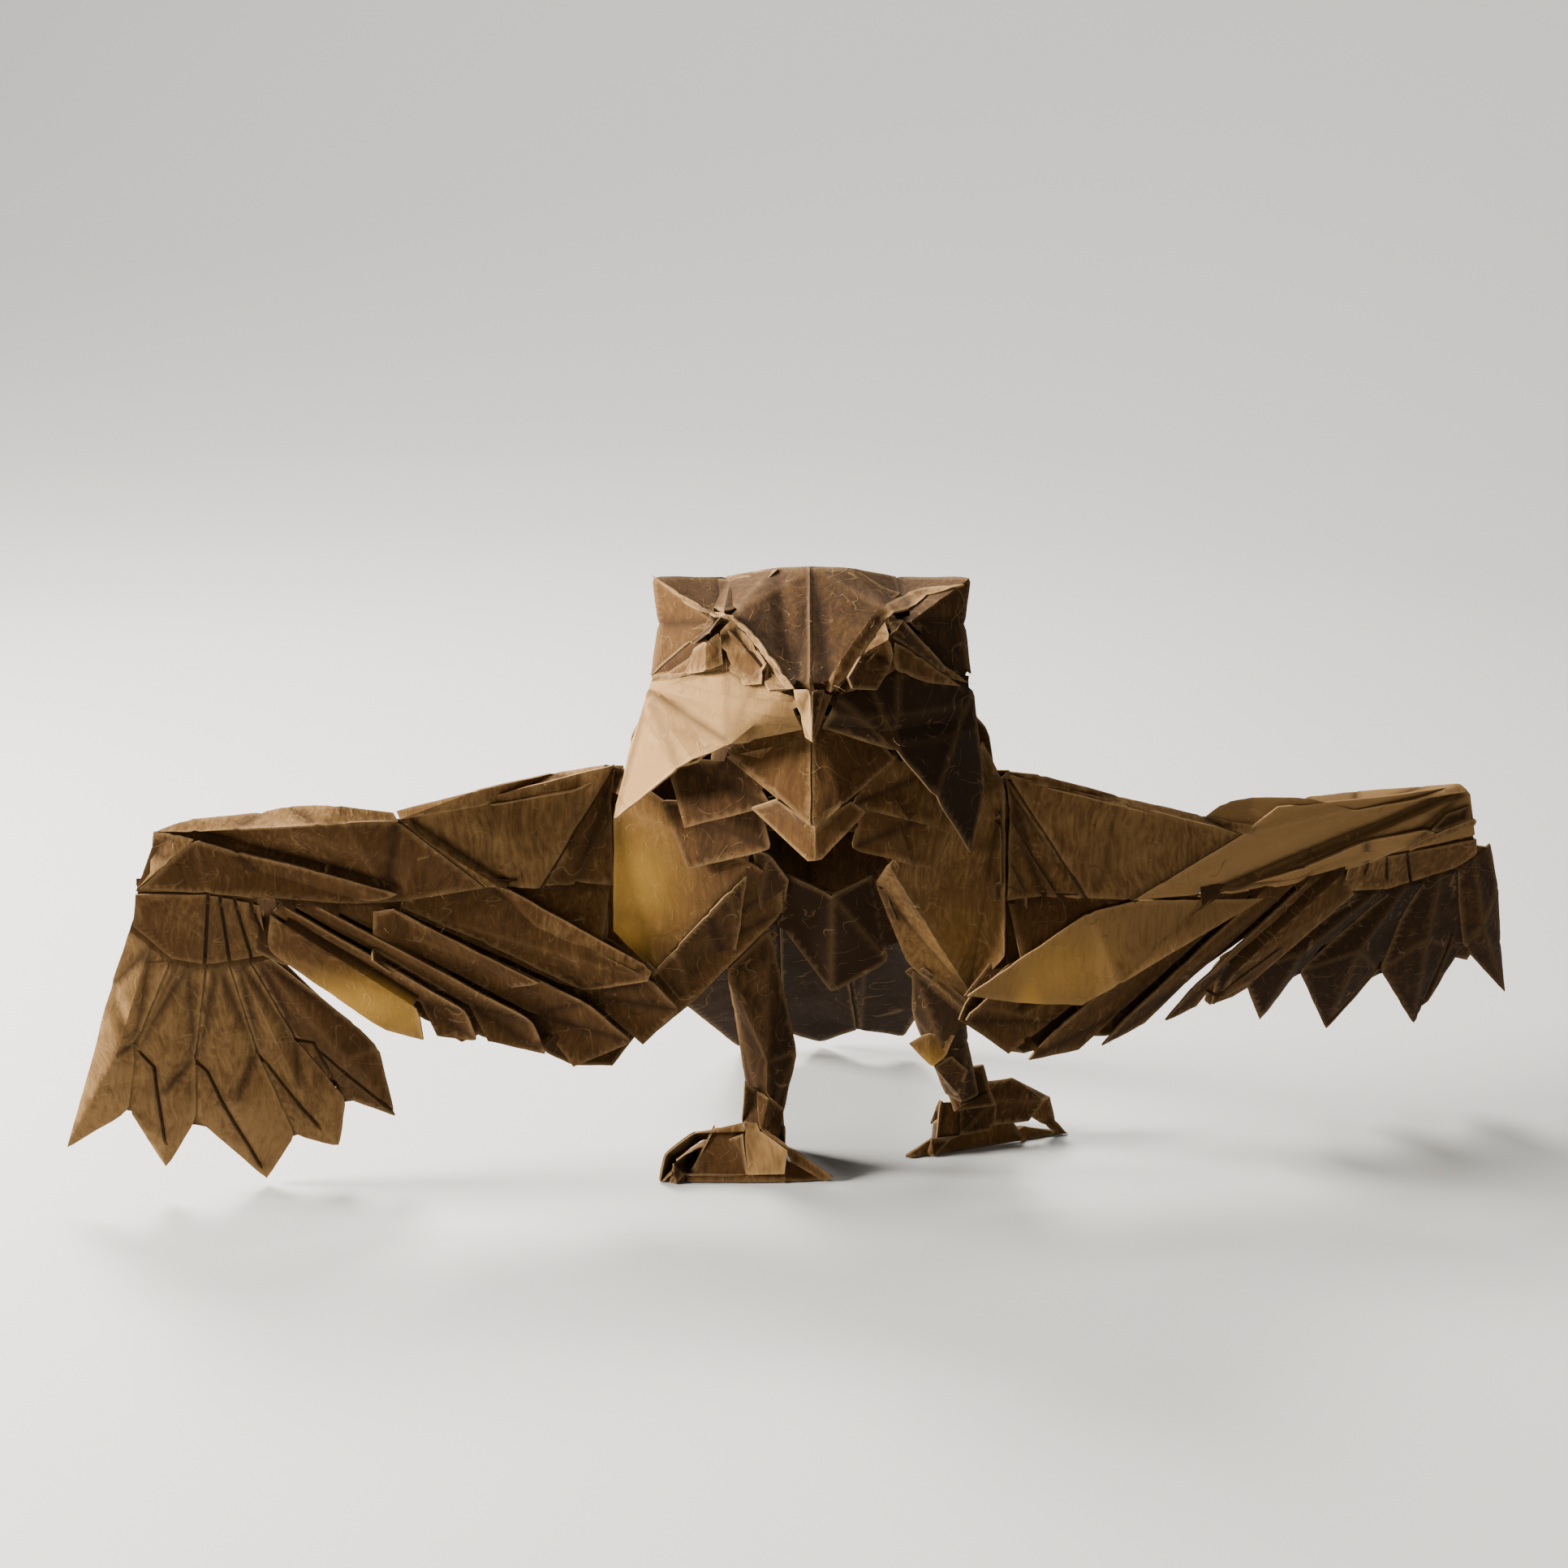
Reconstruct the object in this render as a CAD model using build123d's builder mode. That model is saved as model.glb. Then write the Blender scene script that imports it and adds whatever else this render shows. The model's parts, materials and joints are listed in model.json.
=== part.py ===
from build123d import *
import os
from math import cos, radians, sin

os.makedirs("parts", exist_ok=True)

# An owl with spread wings, folded from one sheet of kraft paper.
# Every piece is one flap of the folded sheet, ending at its creases.
# Millimetres. X is to the right as the owl is faced, it looks along -Y, Z is up.

# ---------------- driving dimensions ----------------
owl_tall = 102.6          # floor to the top of the forehead
body_wide = 59.0          # shoulder to shoulder
body_deep = 42.0          # beak root to the back ridge
reach_left = 70.6         # shoulder crease to wrist crease, left wing
reach_right = 78.4        # the same on the right wing, opened a little further
sheet = 0.4               # two layers of kraft paper pressed together
crease_gap = 0.6          # clear strip left at a crease between two flaps
sweep_left = 11.0         # degrees the left wing comes forward
sweep_right = -12.0       # degrees the right wing comes forward (so it goes back)
lean_left = 15.0          # degrees the left finger feathers lean back
lean_right = 24.0         # the same on the right
feather_ridge = 1.1       # how far a finger feather's middle crease stands proud
pleat_deep = 1.3          # how far a pleat's ridge stands proud of its valley, half

# The corners below are written for these sizes and stretched to the ones above.
drawn_tall = 102.6
drawn_wide = 59.0
drawn_deep = 42.0
drawn_reach = {"left": 70.6, "right": 78.4}

wide = body_wide / drawn_wide
deep = body_deep / drawn_deep
tall = owl_tall / drawn_tall
trim = crease_gap / 2


def corner(x, y, z):
    return Vector(x * wide, y * deep, z * tall)


# ---------------- folding a flap ----------------
def settle(wishes):
    # the shift that best meets every (direction, amount) wish at one corner
    rows = [Vector(0.0001, 0, 0), Vector(0, 0.0001, 0), Vector(0, 0, 0.0001)]
    amounts = [0.0, 0.0, 0.0]
    for direction, amount in wishes:
        parts = (direction.X, direction.Y, direction.Z)
        for row in range(3):
            rows[row] = rows[row] + direction * parts[row]
            amounts[row] += parts[row] * amount
    first, second, third = rows
    volume = first.dot(second.cross(third))
    shift = second.cross(third) * amounts[0]
    shift = shift + third.cross(first) * amounts[1]
    shift = shift + first.cross(second) * amounts[2]
    return shift * (1 / volume)


def spot(point):
    return (round(point.X, 3), round(point.Y, 3), round(point.Z, 3))


def face_on(facet):
    total = Vector(0, 0, 0)
    for index in range(1, len(facet) - 1):
        total = total + (facet[index] - facet[0]).cross(facet[index + 1] - facet[0])
    return total.normalized()


def flat_pieces(facet):
    normal = face_on(facet)
    if max(abs((point - facet[0]).dot(normal)) for point in facet) < 0.02:
        return [facet]
    return [[facet[0], facet[k], facet[k + 1]] for k in range(1, len(facet) - 1)]


def edges_of(facet):
    return [(facet[k - 1], facet[k]) for k in range(len(facet))]


def same_way_round(facets):
    # turn facets over until neighbours run their shared crease opposite ways
    done = [facets[0]]
    waiting = facets[1:]
    while waiting:
        ways = {(spot(a), spot(b)) for facet in done for a, b in edges_of(facet)}
        for facet in waiting:
            turned = facet[::-1]
            if any((spot(a), spot(b)) in ways for a, b in edges_of(turned)):
                done.append(facet)
                break
            if any((spot(a), spot(b)) in ways for a, b in edges_of(facet)):
                done.append(turned)
                break
        else:
            raise ValueError("a facet does not meet the rest of its flap")
        waiting = [other for other in waiting if other is not facet]
    return done


def fold(facets, cut_back=trim):
    # a sheet of even thickness that runs through all the facets, with mitred creases
    pieces = same_way_round([bit for facet in facets for bit in flat_pieces(facet)])
    rims = {}
    for facet in pieces:
        for a, b in edges_of(facet):
            rims[(spot(a), spot(b))] = (b - a).normalized()
    thicken = {}
    draw_in = {}
    for facet in pieces:
        normal = face_on(facet)
        for a, b in edges_of(facet):
            thicken.setdefault(spot(a), []).append((normal, sheet / 2))
            draw_in.setdefault(spot(a), []).append((normal, 0.0))
            if (spot(b), spot(a)) not in rims:
                inward = normal.cross(b - a).normalized()
                draw_in.setdefault(spot(a), []).append((inward, cut_back))
                draw_in.setdefault(spot(b), []).append((inward, cut_back))
    for facet in pieces:
        corners = []
        for point in facet:
            shift = settle(draw_in[spot(point)])
            if shift.length > 3 * cut_back:
                shift = shift.normalized() * 3 * cut_back
            offset = settle(thicken[spot(point)])
            corners.append(point + shift + offset)
            corners.append(point + shift - offset)
        ConvexPolyhedron(corners)


flaps = {}
hinges = {}


def save(flap, name):
    # kept until the middle of the whole owl is known
    flap.part.label = name
    flaps[name] = flap.part


# ---------------- head ----------------
forehead_top = corner(0, -11, 102.6)
brow_root = corner(0, -28.2, 89.4)
with BuildPart() as crown:
    halves = []
    for side in (-1, 1):
        top_side = corner(side * 5.5, -10.2, 102.2)
        brow_end = corner(side * 10.8, -17.6, 97.9)
        root_side = corner(side * 2.2, -27.0, 89.6)
        temple_top = corner(side * 12.4, -7, 100.2)
        temple_low = corner(side * 13.4, -13, 97.9)
        band_end = corner(side * 12.2, -18.8, 96.7)
        band_root = corner(side * 3.2, -28.0, 88.4)
        halves += [[forehead_top, brow_root, root_side, brow_end, top_side],
                   [top_side, brow_end, temple_low, temple_top],
                   [brow_end, root_side, band_root, band_end]]
    fold(halves)
save(crown, "crown")

nape_ridge = corner(0, 3, 98.5)
nape_foot = corner(0, 8, 82)
with BuildPart() as nape:
    halves = []
    for side in (-1, 1):
        top_side = corner(side * 5.5, -10.2, 102.2)
        temple_top = corner(side * 12.4, -7, 100.2)
        nape_side = corner(side * 15.5, -1, 83)
        halves += [[forehead_top, top_side, nape_ridge],
                   [top_side, temple_top, nape_side, nape_ridge],
                   [nape_ridge, nape_side, nape_foot]]
    fold(halves)
save(nape, "nape")

for side, hand in ((-1, "left"), (1, "right")):
    tuft_tip = corner(side * 23, -12, 101.4)
    tuft_inner = corner(side * 12.9, -7.6, 100.3)
    tuft_brow = corner(side * 13.8, -16.4, 97.5)
    slot_inner = corner(side * 13.6, -19.4, 96.4)
    tuft_low = corner(side * 23.4, -12.4, 86.6)
    tuft_mid = corner(side * 22.2, -12.2, 94.5)
    with BuildPart() as ear_tuft:
        fold([[tuft_tip, tuft_inner, tuft_brow],
              [tuft_tip, tuft_brow, slot_inner],
              [tuft_tip, slot_inner, tuft_mid],
              [tuft_mid, slot_inner, tuft_low]])
    save(ear_tuft, f"ear_tuft_{hand}")

    eye_outer = corner(side * 23.4, -13, 85.6)
    eye_high = corner(side * 13.2, -20.9, 94.8)
    eye_low = corner(side * 12.2, -22.2, 90.6)
    lid_top = corner(side * 12.0, -20.6, 96.4)
    lid_inner = corner(side * 3.4, -27.9, 88.0)
    lid_low = corner(side * 8.4, -24.9, 88.7)
    with BuildPart() as eye_fold:
        fold([[eye_outer, eye_high, eye_low],
              [eye_high, lid_top, eye_low],
              [lid_top, lid_inner, lid_low, eye_low]])
    save(eye_fold, f"eye_fold_{hand}")

# the left cheek ends in a wide corner, the right one in a long point
cheeks = {"left": {"arch": (11.6, -24.6, 80.0), "fan": (19.0, -22.4, 75.6),
                   "low": (29.2, -15.4, 65.2), "outer": (26.6, -12.4, 75.5)},
          "right": {"arch": (12.0, -24.4, 78.8), "fan": (17.8, -22.0, 71.0),
                    "low": (23.4, -17.6, 61.0), "outer": (25.6, -13.2, 70.0)}}
for side, hand in ((-1, "left"), (1, "right")):
    marks = {key: corner(side * x, y, z) for key, (x, y, z) in cheeks[hand].items()}
    cheek_top = corner(side * 23.6, -12.9, 85.2)
    lid_side = corner(side * 12.0, -22.4, 90.3)
    lid_mid = corner(side * 8.3, -25.0, 88.5)
    root_low = corner(side * 3.2, -27.4, 87.8)
    chin = corner(side * 1.2, -25.4, 82.4)
    with BuildPart() as cheek:
        fold([[cheek_top, lid_side, marks["arch"]],
              [lid_side, lid_mid, marks["arch"]],
              [lid_mid, root_low, marks["arch"]],
              [root_low, chin, marks["arch"]],
              [cheek_top, marks["arch"], marks["fan"]],
              [cheek_top, marks["fan"], marks["low"], marks["outer"]]])
    save(cheek, f"cheek_{hand}")

beak_root = corner(0, -28.8, 89.15)
beak_tip = corner(0, -30.2, 81.6)
with BuildPart() as beak:
    halves = []
    for side in (-1, 1):
        halves.append([beak_root, beak_tip, corner(side * 2.6, -28.1, 88.2)])
    fold(halves, cut_back=0.1)
save(beak, "beak")

# ---------------- body ----------------
back_top = nape_foot
back_ridge = corner(0, 13, 64)
back_foot = corner(0, 12, 42.6)
with BuildPart() as back:
    halves = []
    for side in (-1, 1):
        neck_side = corner(side * 15.5, -1, 83)
        shoulder_top = corner(side * 22.6, -5.4, 81.4)
        shoulder = corner(side * 26.8, -6.2, 76.5)
        shoulder_low = corner(side * 28.0, -7.0, 69)
        hip_back = corner(side * 27.6, -3, 44)
        halves += [[back_top, neck_side, back_ridge],
                   [neck_side, shoulder_low, back_ridge],
                   [neck_side, shoulder_top, shoulder, shoulder_low],
                   [back_ridge, shoulder_low, hip_back],
                   [back_ridge, hip_back, back_foot]]
    fold(halves)
save(back, "back")

# breast feathers: two in the middle, two tiers on each side, each lying on the next
breast_upper_top = corner(0, -22.6, 80.5)
breast_upper_tip = corner(0, -24.6, 67.4)
with BuildPart() as breast_upper:
    halves = []
    for side in (-1, 1):
        halves.append([breast_upper_top, breast_upper_tip, corner(side * 12.6, -20.8, 77.2)])
    fold(halves)
save(breast_upper, "breast_upper")

breast_lower_top = corner(0.3, -20.6, 72.5)
breast_lower_tip = corner(0.6, -21.6, 60.9)
with BuildPart() as breast_lower:
    halves = []
    for side in (-1, 1):
        wing_side = corner(side * 9.6, -18.6, 69.6)
        halves.append([breast_lower_top, breast_lower_tip, wing_side])
    fold(halves)
save(breast_lower, "breast_lower")

for side, hand in ((-1, "left"), (1, "right")):
    with BuildPart() as tier_upper:
        fold([[corner(side * 21.4, -16.4, 75.6), corner(side * 18.6, -19.0, 65.4),
               corner(side * 5.4, -20.4, 69.4)],
              [corner(side * 21.4, -16.4, 75.6), corner(side * 5.4, -20.4, 69.4),
               corner(side * 9.6, -20.5, 76.4)]])
    save(tier_upper, f"tier_upper_{hand}")
    with BuildPart() as tier_lower:
        fold([[corner(side * 22.4, -14.2, 68.6), corner(side * 18.4, -15.0, 57.5),
               corner(side * 5.6, -17.8, 61.8)],
              [corner(side * 22.4, -14.2, 68.6), corner(side * 5.6, -17.8, 61.8),
               corner(side * 7.0, -18.5, 68.8)]])
    save(tier_lower, f"tier_lower_{hand}")

# flank: a broad panel behind the wing root and a strip folded back under it
flanks = {"left": {"tab": (25.6, -7.0, 75.8), "tab_in": (24.2, -13.4, 70.0),
                   "top": (29.4, -11.6, 66.4), "side": (30.3, -8.8, 45.4),
                   "low": (24.4, -7.4, 38.2), "inner": (8.8, -16.0, 59.4),
                   "heart": (4.2, -11.6, 54.6), "groin": (3.9, -9.0, 48.6),
                   "hem": (18.6, -6.0, 31.8), "point": (26.0, -5.2, 25.0)},
          "right": {"tab": (25.6, -7.0, 76.0), "tab_in": (24.2, -11.2, 71.0),
                    "top": (29.0, -10.6, 69.4), "side": (30.2, -8.8, 41.0),
                    "low": (25.2, -5.2, 33.6), "inner": (11.4, -15.6, 58.9),
                    "heart": (9.6, -10.6, 54.0), "groin": (15.0, -6.4, 39.0),
                    "hem": (17.6, -5.4, 36.6), "point": (24.8, -4.0, 29.4)}}
for side, hand in ((-1, "left"), (1, "right")):
    marks = {key: corner(side * x, y, z) for key, (x, y, z) in flanks[hand].items()}
    with BuildPart() as flank:
        fold([[marks["tab"], marks["top"], marks["tab_in"]],
              [marks["tab_in"], marks["top"], marks["inner"]],
              [marks["top"], marks["side"], marks["low"], marks["inner"]],
              [marks["inner"], marks["low"], marks["heart"]],
              [marks["heart"], marks["low"], marks["groin"]],
              [marks["groin"], marks["low"], marks["hem"]],
              [marks["hem"], marks["low"], marks["point"]]])
    save(flank, f"flank_{hand}")

with BuildPart() as lining:
    lining_left = corner(-4.6, -10.4, 56.2)
    lining_notch = corner(3.2, -11.8, 52.6)
    lining_right = corner(9.4, -10.2, 55.4)
    lining_low = corner(3.4, -4.8, 33.2)
    fold([[lining_left, corner(-4.2, -8.0, 45.4), lining_low, lining_notch],
          [lining_notch, lining_low, corner(12.4, -6.0, 39.2), lining_right]])
save(lining, "lining")

# ---------------- tail ----------------
tail_root = [corner(-14, 5.4, 42.8), corner(-5, 9.6, 42.2), corner(5, 9.6, 42.2),
             corner(14, 5.4, 42.8)]
tail_hem = [corner(-23, 26, 19.2), corner(-4.6, 40, 6.4), corner(9.4, 40, 6.6),
            corner(21.6, 28, 18)]
tail_tips = [corner(-12.4, 44.6, 1.0), corner(2.6, 46.8, 0.9), corner(18, 42.4, 4.2)]
for number, hand in ((0, "left"), (1, "middle"), (2, "right")):
    crest = (tail_root[number] + tail_root[number + 1]) * 0.5 + corner(0, 1.6, 0)
    with BuildPart() as tail:
        fold([[crest, tail_root[number], tail_hem[number], tail_tips[number]],
              [crest, tail_tips[number], tail_hem[number + 1], tail_root[number + 1]]])
    save(tail, f"tail_{hand}")

# ---------------- legs and feet ----------------
legs = {"left": {"hip_in": (-6.0, -7.2, 45.6), "hip_out": (-12.9, -6.2, 38.0),
                 "shin_out": (-12.0, -4.0, 30.7), "heel_out": (-9.2, -1.6, 9.6),
                 "heel_in": (-4.4, -1.6, 9.4), "knee_in": (-1.8, -3.0, 22.5),
                 "shin": (-6.6, -6.0, 22.2), "heel": (-6.8, -3.6, 9.5),
                 "arch_in": (-3.8, -2.6, 9.0), "arch_out": (-15.6, -2.6, 8.8),
                 "sole_in": (-3.4, -5.4, 0.4), "sole_out": (-20.2, -5.4, 0.4),
                 "rear_in": (-5.4, 7.0, 0.4), "rear_out": (-15.4, 7.0, 0.4),
                 "claw": (-23.8, -5.0, 0.5), "claw_root": (-19.0, -4.6, 2.6),
                 "claw_back": (-19.0, 1.0, 0.6), "toe": (4.2, -4.6, 0.5),
                 "toe_root": (-3.6, -4.2, 3.8), "toe_back": (-4.2, 1.0, 0.6)},
        "right": {"hip_in": (15.8, -4.6, 38.0), "hip_out": (24.8, -3.2, 29.6),
                  "shin_out": (25.6, 0.6, 23.0), "heel_out": (28.2, 6.6, 10.2),
                  "heel_in": (22.6, 6.0, 10.6), "knee_in": (16.4, -0.4, 27.8),
                  "shin": (21.4, -1.0, 21.6), "heel": (25.2, 4.0, 10.2),
                  "arch_in": (21.8, 5.2, 9.6), "arch_out": (31.6, 8.4, 8.4),
                  "sole_in": (20.6, 4.0, 0.4), "sole_out": (36.6, 9.2, 0.4),
                  "rear_in": (20.6, 15.0, 0.4), "rear_out": (31.6, 18.0, 0.4),
                  "claw": (43.6, 11.8, 0.5), "claw_root": (36.0, 9.8, 2.8),
                  "claw_back": (34.8, 13.6, 0.6), "toe": (15.4, 2.4, 0.5),
                  "toe_root": (21.0, 4.8, 3.6), "toe_back": (20.6, 9.0, 0.6)}}
for hand in ("left", "right"):
    marks = {key: corner(x, y, z) for key, (x, y, z) in legs[hand].items()}
    with BuildPart() as leg:
        fold([[marks["hip_in"], marks["hip_out"], marks["shin"]],
              [marks["hip_in"], marks["shin"], marks["knee_in"]],
              [marks["hip_out"], marks["shin_out"], marks["shin"]],
              [marks["shin_out"], marks["heel_out"], marks["heel"], marks["shin"]],
              [marks["knee_in"], marks["shin"], marks["heel"], marks["heel_in"]]])
    save(leg, f"leg_{hand}")
    with BuildPart() as foot:
        fold([[marks["arch_in"], marks["arch_out"], marks["sole_out"], marks["sole_in"]],
              [marks["arch_in"], marks["arch_out"], marks["rear_out"], marks["rear_in"]]],
             cut_back=0.2)
    save(foot, f"foot_{hand}")
    with BuildPart() as claw:
        fold([[marks["claw"], marks["claw_root"], marks["sole_out"]],
              [marks["claw"], marks["claw_root"], marks["claw_back"]]], cut_back=0.2)
    save(claw, f"claw_{hand}")
    with BuildPart() as toe:
        fold([[marks["toe"], marks["toe_root"], marks["sole_in"]],
              [marks["toe"], marks["toe_root"], marks["toe_back"]]], cut_back=0.2)
    save(toe, f"toe_{hand}")

# ---------------- wings ----------------
# u runs out along the arm, v down, w forward; the finger feathers have their own
# plane, which starts at fan_hinge and leans back
wings = {
    "left": {
        "side": -1, "reach": reach_left, "sweep": sweep_left, "lean": lean_left,
        "fan_hinge": 20.0,
        "arm": {"root": (-0.6, -0.4), "elbow": (32.2, 5.7), "bump": (40.0, 5.4),
                "wrist": (66.4, 5.8), "edge": (70.4, 15.0), "low_out": (60.6, 15.9),
                "low_mid": (40.1, 19.3), "low_in": (31.7, 19.4), "valley": (34.6, 18.6),
                "joint": (19.6, 17.6), "arm_low": (11.7, 18.6), "pleat": (6.4, 18.8),
                "pit": (0.3, 19.4), "pleat_top": (0.3, 5.6)},
        "hem": {"low_in": 1.2, "low_mid": 1.2, "low_out": 1.1, "edge": 1.3},
        "ridges": [((20.0, 18.4), (-4.8, 34.0)), ((35.6, 19.6), (5.3, 37.0)),
                   ((44.6, 18.9), (13.5, 39.6)), ((49.6, 18.4), (23.4, 37.4)),
                   ((51.6, 19.8), (30.6, 36.6))],
        "ends": [((-9.2, 39.5), (-3.4, 46.0)), ((-2.0, 44.6), (7.6, 49.0)),
                 ((11.4, 46.0), (20.6, 43.6)), ((21.8, 43.0), (28.2, 42.4)),
                 ((30.0, 42.4), (36.6, 40.8))],
        "last": (52.6, 26.0),
        "cover": [(70.4, -5.0), (60.4, -4.2), (52.8, -1.6), (52.2, 7.8), (61.4, 8.9),
                  (66.4, 7.3), (71.4, 0.8)],
        "roots": [(71.8, 1.2), (66.6, 7.7), (61.6, 9.3), (58.2, 9.0), (55.2, 8.6),
                  (52.2, 8.2)],
        "notches": [(75.9, 12.1), (73.3, 23.5), (64.8, 27.1), (55.5, 26.7),
                    (49.6, 24.7), (40.2, 22.9)],
        "valleys": [(79.6, 24.0), (75.7, 36.3), (65.8, 39.1), (51.0, 44.2),
                    (42.6, 37.5), (37.0, 27.6)],
        "tips": [(86.2, 42.9), (71.4, 48.6), (56.1, 52.6), (44.2, 47.1), (34.9, 41.8)]},
    "right": {
        "side": 1, "reach": reach_right, "sweep": sweep_right, "lean": lean_right,
        "fan_hinge": 18.0,
        "arm": {"root": (-0.8, 1.0), "elbow": (37.2, 12.6), "bump": (42.4, 8.6),
                "wrist": (76.4, 8.8), "edge": (78.2, 17.0), "low_out": (63.0, 19.6),
                "low_mid": (48.5, 21.8), "low_in": (35.0, 23.2), "valley": (40.0, 21.8),
                "joint": (19.5, 22.6), "arm_low": (12.9, 22.1), "pleat": (6.6, 22.0),
                "pit": (0.2, 21.8), "pleat_top": (0.0, 7.0)},
        "hem": {"low_in": 1.2, "low_mid": 1.0, "low_out": -0.4, "edge": 0.4},
        "ridges": [((16.4, 22.8), (-4.9, 37.7)), ((33.6, 23.6), (8.6, 42.6)),
                   ((42.4, 22.8), (20.2, 42.0)), ((49.6, 21.9), (31.0, 38.4)),
                   ((55.2, 21.2), (38.2, 36.2))],
        "ends": [((-7.0, 40.0), (1.2, 47.4)), ((3.4, 48.2), (13.0, 48.0)),
                 ((15.4, 47.4), (24.0, 44.6)), ((26.2, 44.2), (32.8, 42.8)),
                 ((34.8, 42.0), (42.4, 40.0))],
        "last": (58.6, 25.4),
        "cover": [(78.6, -0.6), (63.4, 1.8), (57.6, 3.6), (58.0, 9.2), (66.0, 9.6),
                  (76.8, 5.8), (79.8, 3.0)],
        "roots": [(81.4, 0.6), (77.2, 6.2), (71.8, 8.2), (66.3, 9.9), (62.2, 9.8),
                  (58.4, 9.5)],
        "notches": [(86.8, 12.0), (79.8, 13.6), (70.6, 16.8), (62.0, 17.4),
                    (54.8, 16.8), (49.6, 15.6)],
        "valleys": [(91.4, 25.0), (84.3, 25.2), (70.4, 29.2), (55.3, 27.6),
                    (44.9, 26.8), (40.0, 22.6)],
        "tips": [(96.6, 38.2), (80.8, 43.9), (64.2, 43.0), (51.1, 39.2), (41.2, 34.3)]}}

for hand, wing in wings.items():
    side = wing["side"]
    root = corner(side * 29.5, -8, 72)
    turn = radians(wing["sweep"])
    lean = radians(wing["lean"])
    out = Vector(side * cos(turn), -sin(turn), 0)
    front = Vector(-side * sin(turn), -cos(turn), 0)
    down = Vector(0, 0, -1)
    fan_down = down * cos(lean) - front * sin(lean)
    fan_front = front * cos(lean) + down * sin(lean)
    along = wing["reach"] / drawn_reach[hand]

    def arm(place, w=0.0):
        return root + out * place[0] * along + down * place[1] * tall + front * w

    def fan(place, w=0.0):
        start = root + down * wing["fan_hinge"] * tall
        return start + out * place[0] * along + fan_down * place[1] * tall + fan_front * w

    mark = wing["arm"]
    # three small pleats where the wing leaves the shoulder
    with BuildPart() as shoulder:
        crest = arm(mark["root"], 0.6)
        fold([[crest, arm(mark["arm_low"], 1.6), arm(mark["pleat"], -0.2)],
              [crest, arm(mark["pleat"], -0.2), arm(mark["pleat_top"], 0.4)],
              [arm(mark["pleat_top"], 0.4), arm(mark["pleat"], -0.2), arm(mark["pit"], 0.5)]])
    save(shoulder, f"shoulder_{hand}")

    with BuildPart() as upper_arm:
        fold([[arm(mark["root"], 0.6), arm(mark["elbow"], 3.0), arm(mark["joint"], 2.4)],
              [arm(mark["root"], 0.6), arm(mark["joint"], 2.4), arm(mark["arm_low"], 1.6)]])
    save(upper_arm, f"upper_arm_{hand}")

    with BuildPart() as forearm:
        elbow = arm(mark["elbow"], 3.0)
        valley = arm(mark["valley"], 0.9)
        wrist = arm(mark["wrist"], 0.2)
        hem = {key: arm(mark[key], w) for key, w in wing["hem"].items()}
        fold([[elbow, arm(mark["joint"], 2.4), hem["low_in"], valley],
              [elbow, valley, arm(mark["bump"], 3.2)],
              [arm(mark["bump"], 3.2), valley, wrist],
              [wrist, valley, hem["low_mid"]],
              [valley, hem["low_in"], hem["low_mid"]],
              [wrist, hem["low_mid"], hem["low_out"]],
              [wrist, hem["low_out"], hem["edge"]]])
    save(forearm, f"forearm_{hand}")

    # secondary feathers: pleats fanning down and in from under the forearm
    for number in range(5):
        start, bend = wing["ridges"][number]
        end_in, end_out = wing["ends"][number]
        if number < 4:
            next_start, next_bend = wing["ridges"][number + 1]
        else:
            next_start = wing["last"]
            next_bend = wing["ends"][4][1]
        lift = 3.2 - 0.5 * number
        ridge_start = arm(start, 0.9)
        ridge_bend = arm(bend, lift)
        ridge_end = arm(end_in, lift - 0.2)
        valley_start = arm(next_start, -0.2)
        valley_bend = arm(next_bend, lift - 2 * pleat_deep)
        valley_end = arm(end_out, lift - 1.6 * pleat_deep)
        facets = [[ridge_bend, valley_bend, valley_start],
                  [ridge_bend, ridge_end, valley_bend]]
        if number < 4:
            facets.append([ridge_end, valley_end, valley_bend])
        if number > 0:
            facets.append([ridge_start, ridge_bend, valley_start])
        else:
            # the first one carries the membrane under the upper arm, up to the flank
            pit = arm((mark["pit"][0] + 0.5, mark["pit"][1] + 0.6), -0.4)
            share = (start[0] - 2.6) / (start[0] - bend[0])
            ridge_mid = ridge_start + (ridge_bend - ridge_start) * share
            facets += [[ridge_start, ridge_mid, valley_start],
                       [ridge_mid, ridge_bend, valley_start],
                       [ridge_start, pit, ridge_mid]]
        with BuildPart() as secondary:
            fold(facets)
        save(secondary, f"secondary_{number + 1}_{hand}")

    # the wrist cover and the five finger feathers
    with BuildPart() as cover:
        outline = [fan(place) for place in wing["cover"]]
        fold([[outline[0], outline[1], outline[4], outline[5], outline[6]],
              [outline[1], outline[2], outline[3], outline[4]]])
    save(cover, f"cover_{hand}")
    hinges[f"wing_{hand}"] = (root, Vector(0, 0, side))
    hinges[f"hand_{hand}"] = ((outline[0] + outline[1]) * 0.5, out * side)

    for number in range(5):
        root_out, root_in = wing["roots"][number], wing["roots"][number + 1]
        crest_root = ((root_out[0] + root_in[0]) / 2, (root_out[1] + root_in[1]) / 2)
        tip = wing["tips"][number]
        crest = fan(crest_root, 0.3)
        tip_end = fan(tip, 0.3)
        around = wing["notches"][number:number + 2] + wing["valleys"][number:number + 2]
        centre = (sum(u for u, v in around) / 4, sum(v for u, v in around) / 4)
        middle = fan(centre, feather_ridge)
        facets = []
        for which, base in ((number, root_out), (number + 1, root_in)):
            notch = fan(wing["notches"][which], -0.6)
            valley = fan(wing["valleys"][which], -0.3)
            facets += [[crest, middle, notch], [crest, notch, fan(base)],
                       [middle, tip_end, valley], [middle, valley, notch]]
        with BuildPart() as primary:
            fold(facets)
        save(primary, f"primary_{number + 1}_{hand}")

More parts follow.
